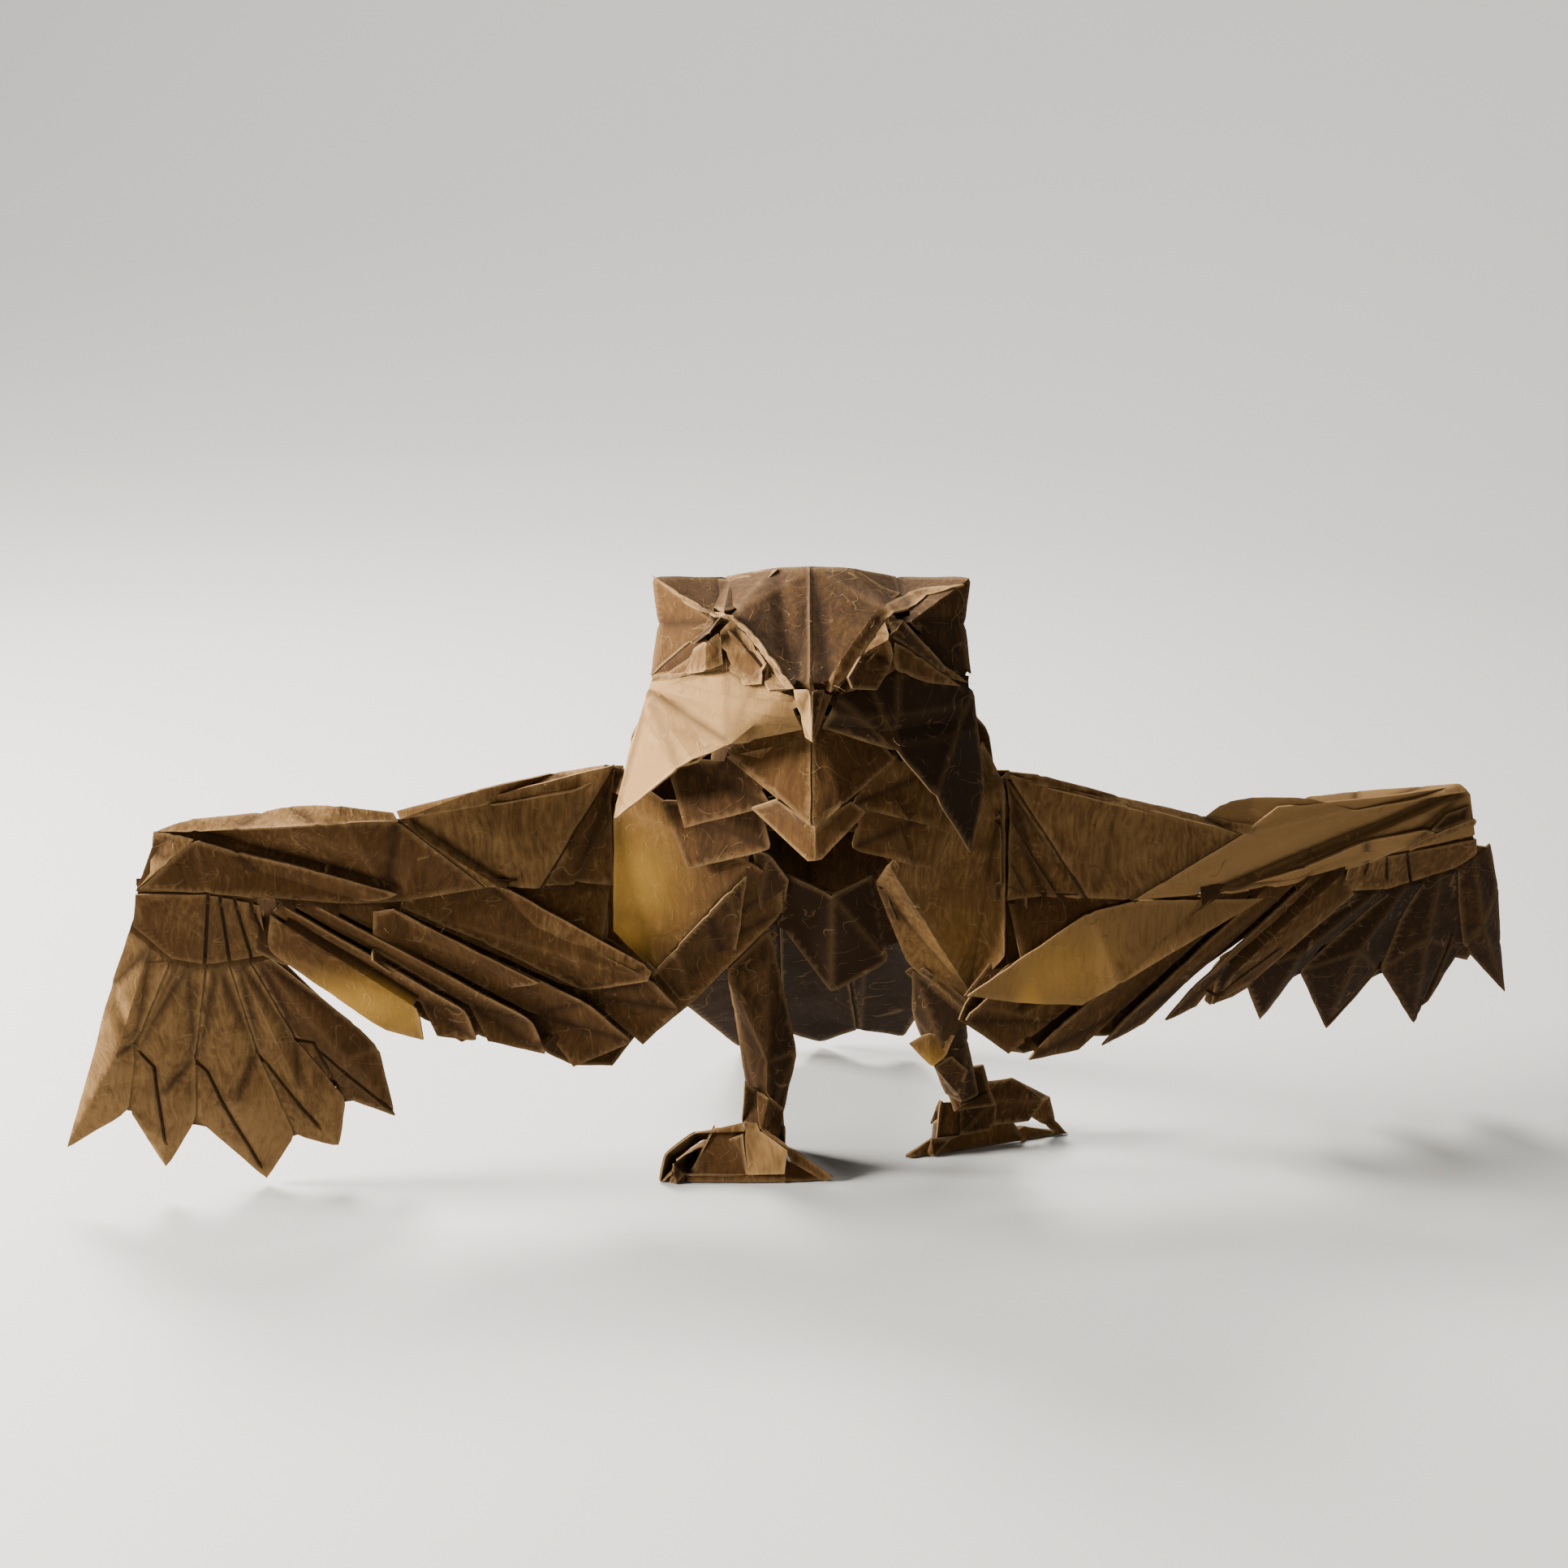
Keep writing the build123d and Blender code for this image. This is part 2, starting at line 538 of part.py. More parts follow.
# ---------------- where the folds hinge, and the middle of the floor print ----------------
hinges["neck"] = (nape_foot, Vector(-1, 0, 0))
hinges["tail"] = ((tail_root[1] + tail_root[2]) * 0.5, Vector(1, 0, 0))
for hand in ("left", "right"):
    hip_in = corner(*legs[hand]["hip_in"])
    hip_out = corner(*legs[hand]["hip_out"])
    hinges[f"hip_{hand}"] = ((hip_in + hip_out) * 0.5, Vector(-1, 0, 0))

boxes = [flap.bounding_box() for flap in flaps.values()]
left_end = min(box.min.X for box in boxes)
right_end = max(box.max.X for box in boxes)
front_end = min(box.min.Y for box in boxes)
back_end = max(box.max.Y for box in boxes)
floor = min(box.min.Z for box in boxes)
middle = Vector((left_end + right_end) / 2, (front_end + back_end) / 2, floor)
for name, flap in flaps.items():
    placed = Pos(-middle.X, -middle.Y, -middle.Z) * flap
    placed.label = name
    export_step(placed, f"parts/{name}.step")
for name, (point, axis) in hinges.items():
    place = [round(value / 1000, 5) for value in (point - middle)]
    print(name, place, [round(value, 5) for value in axis])
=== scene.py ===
import bpy, bmesh, json, random
import numpy as np
from math import radians, sin, cos, pi
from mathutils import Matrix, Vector, noise
from mathutils.bvhtree import BVHTree


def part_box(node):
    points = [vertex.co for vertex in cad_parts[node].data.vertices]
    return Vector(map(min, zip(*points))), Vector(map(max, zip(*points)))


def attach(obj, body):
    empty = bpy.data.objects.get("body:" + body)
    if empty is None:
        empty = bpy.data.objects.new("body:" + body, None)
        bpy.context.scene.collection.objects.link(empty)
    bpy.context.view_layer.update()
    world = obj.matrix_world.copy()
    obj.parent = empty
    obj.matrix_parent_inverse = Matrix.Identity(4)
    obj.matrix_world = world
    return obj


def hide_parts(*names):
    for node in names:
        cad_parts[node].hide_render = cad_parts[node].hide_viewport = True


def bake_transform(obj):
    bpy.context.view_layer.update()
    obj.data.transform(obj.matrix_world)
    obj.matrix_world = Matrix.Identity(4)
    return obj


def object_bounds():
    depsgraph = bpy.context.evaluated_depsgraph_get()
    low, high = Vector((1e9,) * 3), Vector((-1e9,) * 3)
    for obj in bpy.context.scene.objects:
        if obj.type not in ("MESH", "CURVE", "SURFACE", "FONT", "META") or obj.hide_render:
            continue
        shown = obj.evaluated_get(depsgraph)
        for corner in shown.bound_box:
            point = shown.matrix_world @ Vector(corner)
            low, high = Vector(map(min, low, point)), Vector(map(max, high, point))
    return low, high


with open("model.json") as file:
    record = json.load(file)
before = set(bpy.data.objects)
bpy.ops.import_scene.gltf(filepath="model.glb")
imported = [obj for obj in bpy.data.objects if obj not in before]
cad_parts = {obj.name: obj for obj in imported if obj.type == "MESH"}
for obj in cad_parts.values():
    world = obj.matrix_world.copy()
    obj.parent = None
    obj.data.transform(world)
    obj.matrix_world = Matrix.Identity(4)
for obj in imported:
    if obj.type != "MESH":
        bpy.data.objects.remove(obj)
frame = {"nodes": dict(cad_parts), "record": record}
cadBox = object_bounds()
print("frame loaded,", len(frame["nodes"]), "flaps")

# camera, floor and light
cameraView = {"target": (-0.0064, -0.0081, 0.0658), "distance": 0.330, "height": 18.0, "lens": 49.2}


def setCamera():
    tilt = radians(cameraView["height"])
    target = Vector(cameraView["target"])
    eye = target + Vector((0, -cos(tilt), sin(tilt))) * cameraView["distance"]
    lens = bpy.data.cameras.new("tableCamera")
    lens.lens, lens.sensor_width = cameraView["lens"], 36.0
    lens.clip_start, lens.clip_end = 0.01, 20.0
    camera = bpy.data.objects.new("tableCamera", lens)
    camera.location = eye
    camera.rotation_euler = (target - eye).to_track_quat("-Z", "Y").to_euler()
    bpy.context.scene.collection.objects.link(camera)
    bpy.context.scene.camera = camera


def addLamp(name, spot, aim, power, size, tint):
    lamp = bpy.data.lights.new(name, "AREA")
    lamp.shape, lamp.size, lamp.energy, lamp.color = "DISK", size, power, tint
    holder = bpy.data.objects.new(name, lamp)
    holder.location = spot
    holder.rotation_euler = (Vector(aim) - Vector(spot)).to_track_quat("-Z", "Y").to_euler()
    bpy.context.scene.collection.objects.link(holder)


studio = {"flat": 0.55, "bend": 1.10, "bendSteps": 12, "top": 2.4, "turns": 96, "air": 0.035,
          "airTint": (1.0, 0.94, 0.86, 1), "floorTint": (0.36, 0.36, 0.355, 1), "floorRough": 0.9}
lamps = {
    "windowLeft": ((-0.64, -0.10, 0.25), (0.0, 0.0, 0.06), 40.0, 0.20, (1.0, 0.95, 0.87)),
    "topBack": ((-0.22, 0.24, 0.50), (0.0, 0.0, 0.05), 9.5, 0.22, (1.0, 0.96, 0.88)),
    "wallWash": ((0.0, 0.35, 1.15), (0.0, 1.5, 0.35), 30.0, 0.60, (1.0, 0.985, 0.96)),
}


def setStudio():
    # a plain round floor that bends up into a wall on every side
    profile = [(0.0, 0.0), (0.2, 0.0), (0.5, 0.0), (studio["flat"], 0.0)]
    for step in range(1, studio["bendSteps"] + 1):
        turn = step / studio["bendSteps"] * pi / 2
        profile.append((studio["flat"] + studio["bend"] * sin(turn), studio["bend"] * (1 - cos(turn))))
    profile.append((studio["flat"] + studio["bend"], studio["top"]))
    turns = studio["turns"]
    points = [(reach * cos(2 * pi * k / turns), reach * sin(2 * pi * k / turns), z)
              for reach, z in profile[1:] for k in range(turns)] + [(0.0, 0.0, 0.0)]
    faces = [(len(points) - 1, k, (k + 1) % turns) for k in range(turns)]
    for row in range(len(profile) - 2):
        faces += [(row * turns + k, (row + 1) * turns + k, (row + 1) * turns + (k + 1) % turns,
                   row * turns + (k + 1) % turns) for k in range(turns)]
    sweep = bpy.data.meshes.new("sweep")
    sweep.from_pydata(points, [], faces)
    sweep.polygons.foreach_set("use_smooth", [True] * len(faces))
    floor = bpy.data.objects.new("sweep", sweep)
    bpy.context.scene.collection.objects.link(floor)
    paint = bpy.data.materials.new("sweepPaper")
    paint.use_nodes = True
    shader = paint.node_tree.nodes["Principled BSDF"]
    shader.inputs["Base Color"].default_value = studio["floorTint"]
    shader.inputs["Roughness"].default_value = studio["floorRough"]
    sweep.materials.append(paint)
    world = bpy.data.worlds.new("room")
    world.use_nodes = True
    air = world.node_tree.nodes["Background"]
    air.inputs[0].default_value = studio["airTint"]
    air.inputs[1].default_value = studio["air"]
    bpy.context.scene.world = world
    for name, (spot, aim, power, size, tint) in lamps.items():
        addLamp(name, spot, aim, power, size, tint)


setCamera()
setStudio()
print("camera, floor and light set")


# shader nodes written as sums
class Wire:
    def __init__(self, graph, socket):
        self.graph, self.socket = graph, socket

    def sum(self, operation, first, second=None):
        values = [first] if second is None else [first, second]
        return self.graph.node("ShaderNodeMath", {"operation": operation}, dict(enumerate(values)))

    def __add__(self, other):
        return self.sum("ADD", self, other)

    def __radd__(self, other):
        return self.sum("ADD", other, self)

    def __sub__(self, other):
        return self.sum("SUBTRACT", self, other)

    def __rsub__(self, other):
        return self.sum("SUBTRACT", other, self)

    def __mul__(self, other):
        return self.sum("MULTIPLY", self, other)

    def __rmul__(self, other):
        return self.sum("MULTIPLY", other, self)

    def __truediv__(self, other):
        return self.sum("DIVIDE", self, other)

    def __rtruediv__(self, other):
        return self.sum("DIVIDE", other, self)

    def __pow__(self, other):
        return self.sum("POWER", self, other)

    def __abs__(self):
        return self.sum("ABSOLUTE", self)


class Graph:
    def __init__(self, material):
        material.use_nodes = True
        self.tree = material.node_tree
        self.shader = self.tree.nodes["Principled BSDF"]

    def node(self, kind, settings=None, inputs=None, output=0):
        made = self.tree.nodes.new(kind)
        for key, value in (settings or {}).items():
            if key == "stops":
                ramp = made.color_ramp
                while len(ramp.elements) < len(value):
                    ramp.elements.new(0.5)
                for stop, (place, tone) in zip(ramp.elements, value):
                    stop.position, stop.color = place, tone
            else:
                setattr(made, key, value)
        for key, value in (inputs or {}).items():
            self.feed(made.inputs[key], value)
        return Wire(self, made.outputs[output])

    def feed(self, socket, value):
        if isinstance(value, Wire):
            self.tree.links.new(value.socket, socket)
        else:
            socket.default_value = value

    def blend(self, share, first, second):
        return self.node("ShaderNodeMix", {"data_type": "RGBA", "blend_type": "MIX"},
                         {0: share, 6: first, 7: second}, output=2)

    def step(self, value, low, high, toLow=0.0, toHigh=1.0):
        return self.node("ShaderNodeMapRange", {"interpolation_type": "SMOOTHSTEP"},
                         {0: value, 1: low, 2: high, 3: toLow, 4: toHigh})

    def note(self, name):
        return self.node("ShaderNodeAttribute", {"attribute_name": name}, output=2)


# deep, mid and light are the paper's mottled browns; deep and light also paint shade in valleys and a
# highlight on ridges. The golden translucency colour, and the emission colour and strength after it, paint
# light shining through the thin paper
kraft = {"deep": (0.0135, 0.0054, 0.0009, 1), "mid": (0.056, 0.0255, 0.0066, 1),
         "light": (0.185, 0.104, 0.038, 1), "fibreLight": (0.33, 0.205, 0.092, 1),
         "fibreDark": (0.009, 0.0035, 0.001, 1), "glow": (0.42, 0.235, 0.040, 1),
         "cloud": 55.0, "nap": 1500.0, "grain": 5200.0, "fibre": 120.0, "wander": 90.0, "drift": 0.006,
         "bump": 0.55, "bumpDepth": 0.00022, "shine": 0.07, "sheen": 0.03, "sheenRough": 0.5,
         "paintedBacklight": (0.9, 0.42, 0.06, 1), "paintedBacklightPower": 0.10}


def kraftPaper():
    material = bpy.data.materials.new("kraftPaper")
    g = Graph(material)
    place = g.node("ShaderNodeTexCoord", output=3)

    def cloud(scale, detail, rough, warp=0.0, at=None):
        return g.node("ShaderNodeTexNoise", {"noise_dimensions": "3D"},
                      {"Vector": at or place, "Scale": scale, "Detail": detail, "Roughness": rough,
                       "Distortion": warp})

    blotch = cloud(kraft["cloud"], 3.0, 0.6)
    patch = cloud(kraft["cloud"] * 4.5, 4.0, 0.65)
    # the nap: short fine strokes, drawn out along a wandering direction
    wander = g.node("ShaderNodeTexNoise", {"noise_dimensions": "3D"},
                    {"Vector": place, "Scale": kraft["wander"], "Detail": 1.0}, output=1)
    shift = g.node("ShaderNodeVectorMath", {"operation": "SCALE"}, {0: wander, 3: kraft["drift"]})
    bent = g.node("ShaderNodeVectorMath", {"operation": "ADD"}, {0: place, 1: shift})
    combed = g.node("ShaderNodeMapping", {}, {0: bent, 2: (0.5, 0.2, 0.4), 3: (1.0, 1.0, 0.16)})
    crossed = g.node("ShaderNodeMapping", {}, {0: bent, 2: (0.9, 1.1, 1.2), 3: (1.0, 0.8, 0.14)})
    napOne = cloud(kraft["nap"], 3.0, 0.6, 0.2, combed)
    napTwo = cloud(kraft["nap"], 3.0, 0.6, 0.2, crossed)
    nap = (napOne + napTwo) * 0.5
    grain = cloud(kraft["grain"], 2.0, 0.5)

    # long loose fibres: thin level lines of a slow noise, broken up by a second one
    def fibres(scale, seed, thin, cover):
        moved = g.node("ShaderNodeVectorMath", {"operation": "ADD"}, {0: bent, 1: (seed, -seed, seed * 0.5)})
        level = abs(cloud(scale, 1.0, 0.4, 0.6, moved) - 0.5)
        line = g.step(level, 0.0, thin, 1.0, 0.0)
        here = g.step(cloud(scale * 1.7, 1.0, 0.5, 0.0, moved), cover, cover + 0.05)
        return line * here

    pale = fibres(kraft["fibre"], 0.37, 0.007, 0.50)
    paleFine = fibres(kraft["fibre"] * 2.1, 1.91, 0.012, 0.48)
    dark = fibres(kraft["fibre"] * 1.3, 2.77, 0.010, 0.56)

    # notes kept on each piece: ridge paints a highlight along ridge folds, partly paler worn fibres; valley
    # paints shade; rim marks the paler cut edges; the next note is painted light shining through the paper;
    # tone is painted light and shade for each piece, and on the loose fibres their paler colour
    ridge = g.note("ridge")
    valley = g.note("valley")
    rim = g.note("rim")
    glow = g.note("glow")
    tone = g.note("tone")

    # random mottling, plus each piece's tone, which paints lit pieces lighter and shaded pieces darker
    shade = g.step(blotch * 0.27 + patch * 0.15 + nap * 0.42 + tone + 0.155, 0.30, 0.92)
    colour = g.blend(g.step(shade, 0.0, 0.5), kraft["deep"], kraft["mid"])
    colour = g.blend(g.step(shade, 0.42, 1.0), colour, kraft["light"])
    # painted shade: valley folds, strips tucked under the next flap and whole sheets marked dark go towards
    # deep
    colour = g.blend(valley * 0.75, colour, kraft["deep"])
    # painted highlight along ridge folds, partly the paler worn fibres there
    colour = g.blend(ridge * 0.15, colour, kraft["light"])
    colour = g.blend(rim * (0.05 + grain * 0.5), colour, kraft["fibreLight"])
    colour = g.blend(dark * 0.45, colour, kraft["fibreDark"])
    colour = g.blend(pale * 0.17 + paleFine * 0.15, colour, kraft["fibreLight"])
    # painted translucency: a golden colour where light would shine through the paper
    colour = g.blend(glow * (0.35 + blotch * 0.5), colour, kraft["glow"])
    g.feed(g.shader.inputs["Base Color"], colour)
    rough = 0.72 + nap * 0.2 - ridge * 0.08
    g.feed(g.shader.inputs["Roughness"], rough)
    height = nap * 0.55 + grain * 0.2 + (pale + paleFine) * 0.35 + patch * 0.6
    bump = g.node("ShaderNodeBump", {},
                  {"Strength": kraft["bump"], "Distance": kraft["bumpDepth"], "Height": height})
    g.feed(g.shader.inputs["Normal"], bump)
    # painted light from behind: a faint golden emission where the paper is marked as shining through
    g.feed(g.shader.inputs["Emission Color"], g.blend(glow, (0, 0, 0, 1), kraft["paintedBacklight"]))
    g.shader.inputs["Emission Strength"].default_value = kraft["paintedBacklightPower"]
    g.shader.inputs["Specular IOR Level"].default_value = kraft["shine"]
    g.shader.inputs["Sheen Weight"].default_value = kraft["sheen"]
    g.shader.inputs["Sheen Roughness"].default_value = kraft["sheenRough"]
    return material


kraftFinish = kraftPaper()
print("kraft paper mixed")

# a flap of folded paper, in metres
paper = {"thick": 0.00034, "step": 0.0011, "reach": 0.00012, "solid": 0.00060, "flatWithin": 0.6,
         "foldOver": 3, "ridge": 0.0007, "valley": 0.0012, "soften": 0.0007, "rim": 0.0006, "calmEdge": 0.005,
         "buckle": 0.00040, "buckleSize": 0.016, "crumple": 0.00017, "crumpleSize": 0.0095,
         "ripple": 0.00004, "rippleSize": 0.0045, "wobble": 0.00009, "wobbleSize": 0.0028,
         "floorGap": 0.0002, "backGap": 0.0001, "groove": 0.00006, "sharp": 24, "boxGap": 0.003}
tuck = {"reach": 0.0024, "under": 0.0010, "drop": 0.00050, "touch": 0.00025, "lean": 0.35, "sink": 0.00012,
        "stay": 0.45, "go": 0.55}
# a point inside the body, which every outer face turns away from
owlMiddle = Vector((-0.0024, -0.004, 0.055))
bodyOf = {node: body for body, nodes in frame["record"]["behaviour"]["bodies"].items() for node in nodes}
# flaps higher in this list lie over those below them
layerOrder = ["beak", "crown", "eye_fold", "ear_tuft", "cheek", "nape", "forearm", "upper_arm", "shoulder",
              "breast_upper", "tier_upper", "tier_lower", "flank", "cover", "leg", "foot", "claw", "toe",
              "back", "lining", "breast_lower", "secondary_1", "secondary_2", "secondary_3", "secondary_4",
              "secondary_5", "primary_1", "primary_2", "primary_3", "primary_4", "primary_5",
              "tail_middle", "tail_left", "tail_right"]


def rankOf(node):
    return next(place for place, start in enumerate(layerOrder) if node.startswith(start))


def outerSheet(node):
    # the outside face of a thin CAD flap, without its rims
    sheet = bmesh.new()
    sheet.from_mesh(frame["nodes"][node].data)
    bmesh.ops.remove_doubles(sheet, verts=sheet.verts, dist=1e-6)
    sheet.normal_update()
    tree = BVHTree.FromBMesh(sheet)
    rims = []
    for face in sheet.faces:
        start = face.calc_center_median() - face.normal * 2e-5
        through = tree.ray_cast(start, -face.normal, 0.02)[3]
        if through is None or through > paper["solid"]:
            rims.append(face)
    bmesh.ops.delete(sheet, geom=rims, context="FACES")
    waiting = dict.fromkeys(sheet.faces)
    islands = []
    while waiting:
        group, queue = [], [waiting.popitem()[0]]
        while queue:
            face = queue.pop()
            group.append(face)
            for edge in face.edges:
                for other in edge.link_faces:
                    if other in waiting:
                        del waiting[other]
                        queue.append(other)
        islands.append(group)
    islands.sort(key=lambda group: -sum(face.calc_area() for face in group))

    def outward(group):
        way = sum((face.normal * face.calc_area() for face in group), Vector())
        spot = sum((face.calc_center_median() * face.calc_area() for face in group), Vector())
        spot /= sum(face.calc_area() for face in group)
        return way.dot(spot - owlMiddle)

    kept = max(islands[:2], key=outward)
    gone = [face for group in islands if group is not kept for face in group]
    bmesh.ops.delete(sheet, geom=gone, context="FACES")
    bmesh.ops.dissolve_limit(sheet, angle_limit=radians(paper["flatWithin"]), verts=sheet.verts,
                             edges=sheet.edges)
    sheet.normal_update()
    return sheet


sheets = {node: outerSheet(node) for node in bodyOf}
sheetTrees = {node: BVHTree.FromBMesh(sheets[node]) for node in bodyOf}
print("outer sheets read from the CAD flaps")


def lineNotes(sheet):
    # the fold lines (with how sharply they bend) and the cut lines of a sheet
    folds, cuts = [], []
    for edge in sheet.edges:
        ends = [list(corner.co) for corner in edge.verts]
        if len(edge.link_faces) == 2:
            bend = edge.calc_face_angle_signed(0.0)
            if abs(bend) > radians(paper["foldOver"]):
                folds.append((ends, bend))
        elif edge.link_faces:
            cuts.append(ends)
    return folds, cuts


def spread(sheet, reach):
    # lets the sheet out a little all round
    moves = {}
    for edge in sheet.edges:
        if len(edge.link_faces) != 1:
            continue
        face = edge.link_faces[0]
        along = (edge.verts[1].co - edge.verts[0].co).normalized()
        out = along.cross(face.normal)
        if out.dot(edge.verts[0].co - face.calc_center_median()) < 0:
            out = -out
        for corner in edge.verts:
            moves.setdefault(corner, []).append(out)
    for corner, ways in moves.items():
        total = sum(ways, Vector())
        if len(ways) == 2 and total.length > 0.4:
            total = total * (2 / max(total.length_squared, 0.8))
        corner.co += total * reach


def refine(sheet, step):
    bmesh.ops.triangulate(sheet, faces=sheet.faces)
    for _ in range(9):
        long = [edge for edge in sheet.edges if edge.calc_length() > step * 1.4]
        if not long:
            break
        bmesh.ops.subdivide_edges(sheet, edges=long, cuts=1)
        wide = [face for face in sheet.faces if len(face.verts) > 3]
        bmesh.ops.triangulate(sheet, faces=wide, quad_method="SHORT_EDGE")
    sheet.normal_update()


def nearness(points, lines, reach):
    # 1 on a line, falling to 0 at reach away from it
    near = np.zeros(len(points))
    for ends in lines:
        a, b = np.array(ends[0]), np.array(ends[1])
        along = b - a
        share = np.clip(((points - a) @ along) / max(along @ along, 1e-12), 0, 1)
        away = np.linalg.norm(points - a - share[:, None] * along, axis=1)
        near = np.maximum(near, 1 - np.clip(away / reach, 0, 1))
    return near


def smoothNear(points, edges, weight):
    # each point goes half way to the middle of its neighbours, where the weight is 1
    total = np.zeros_like(points)
    count = np.zeros(len(points))
    for a, b in ((0, 1), (1, 0)):
        np.add.at(total, edges[:, a], points[edges[:, b]])
        np.add.at(count, edges[:, a], 1)
    return points + (total / count[:, None] - points) * weight[:, None] * 0.5


def crumpleOf(point, seed, size):
    # shallow dents with soft creases between them
    near = noise.voronoi(point / size + Vector((seed, seed * 0.7, -seed)))[0]
    return near[1] - near[0]


def borderOf(faces):
    # the sides that only one face has, each in that face's order
    sides = {}
    for face in faces:
        for k, corner in enumerate(face):
            sides[(corner, face[(k + 1) % len(face)])] = True
    return [side for side in sides if (side[1], side[0]) not in sides]


def atShare(node, share):
    low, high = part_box(node)
    return Vector([low[k] + (high[k] - low[k]) * share[k] for k in range(3)])


def pressCreases(sheet, node, creases):
    # cuts the sheet along each drawn crease so that the fold comes out crisp
    plans = []
    for start, end, profile, fade in creases:
        a, b = (atShare(node, (spot[0], 0.5, spot[1])) for spot in (start, end))
        along = Vector((b.x - a.x, 0, b.z - a.z))
        across = Vector((along.z, 0, -along.x)).normalized()
        for distance, _ in profile:
            geometry = list(sheet.verts) + list(sheet.edges) + list(sheet.faces)
            bmesh.ops.bisect_plane(sheet, geom=geometry, dist=1e-6, plane_co=a + across * distance * 0.001,
                                   plane_no=across)
        plans.append((np.array(a), np.array(along), np.array(across), profile, fade))
    sheet.normal_update()
    return plans


creaseReach = 0.7


def creaseRise(points, plans):
    # how far the pressed creases lift each point, and how near it is to their ridges and valleys, which
    # become a painted highlight and painted shade
    rise, ridge, valley = (np.zeros(len(points)) for _ in range(3))
    for a, along, across, profile, fade in plans:
        gap = ((points - a) @ across) * 1000
        share = ((points - a) @ along) / (along @ along)
        window = np.clip((share + fade) / fade, 0, 1) * np.clip((1 + fade - share) / fade, 0, 1)
        window = window * window * (3 - 2 * window)
        places = [d for d, _ in profile]
        heights = [h for _, h in profile]
        rise += np.interp(gap, places, heights) * window * 0.001
        for k in range(len(profile)):
            before = (heights[k] - heights[k - 1]) / (places[k] - places[k - 1]) if k else 0
            after = (heights[k + 1] - heights[k]) / (places[k + 1] - places[k]) if k + 1 < len(places) else 0
            near = np.clip(1 - abs(gap - places[k]) / creaseReach, 0, 1) * window
            near = near * min(1, abs(after - before) * 1.5)
            if after < before:
                ridge = np.maximum(ridge, near)
            else:
                valley = np.maximum(valley, near)
    return rise, ridge, valley


def tuckEdges(points, normals, border, under):
    # where the next flap lies over this one, the paper runs on beneath it
    outs = {}
    for a, b in border:
        along = points[b] - points[a]
        out = np.cross(along, (normals[a] + normals[b]) / 2)
        out /= max(np.linalg.norm(out), 1e-9)
        for k in (a, b):
            outs[k] = outs.get(k, 0) + out
    targets = {}
    for k, out in outs.items():
        out = out / max(np.linalg.norm(out), 1e-9)
        best = None
        for other in under:
            spot, normal, _, away = sheetTrees[other].find_nearest(Vector(points[k]), tuck["reach"])
            if spot is None:
                continue
            way = np.array(spot) - points[k]
            if away > tuck["touch"] and way @ out < tuck["lean"] * away:
                continue
            if best is None or away < best[0]:
                best = (away, np.array(spot), np.array(normal))
        if best:
            away, spot, normal = best
            run = out - normal * (out @ normal)
            run /= max(np.linalg.norm(run), 1e-9)
            targets[k] = (spot + run * tuck["under"] - normal * tuck["drop"], normal)
    extraPoints, extraNormals, extraFaces, made = [], [], [], {}
    for a, b in border:
        if a in targets and b in targets:
            for k in (a, b):
                if k not in made:
                    target, normal = targets[k]
                    middle = points[k] * tuck["stay"] + target * tuck["go"] - normals[k] * tuck["sink"]
                    made[k] = len(points) + len(extraPoints)
                    extraPoints += [middle, target]
                    extraNormals += [normals[k] * 0.5 + normal * 0.5, normal]
            extraFaces += [(b, a, made[a]), (b, made[a], made[b]),
                           (made[b], made[a], made[a] + 1), (made[b], made[a] + 1, made[b] + 1)]
    return extraPoints, extraNormals, extraFaces, set(made)


flapCount = {"pieces": 0, "faces": 0}


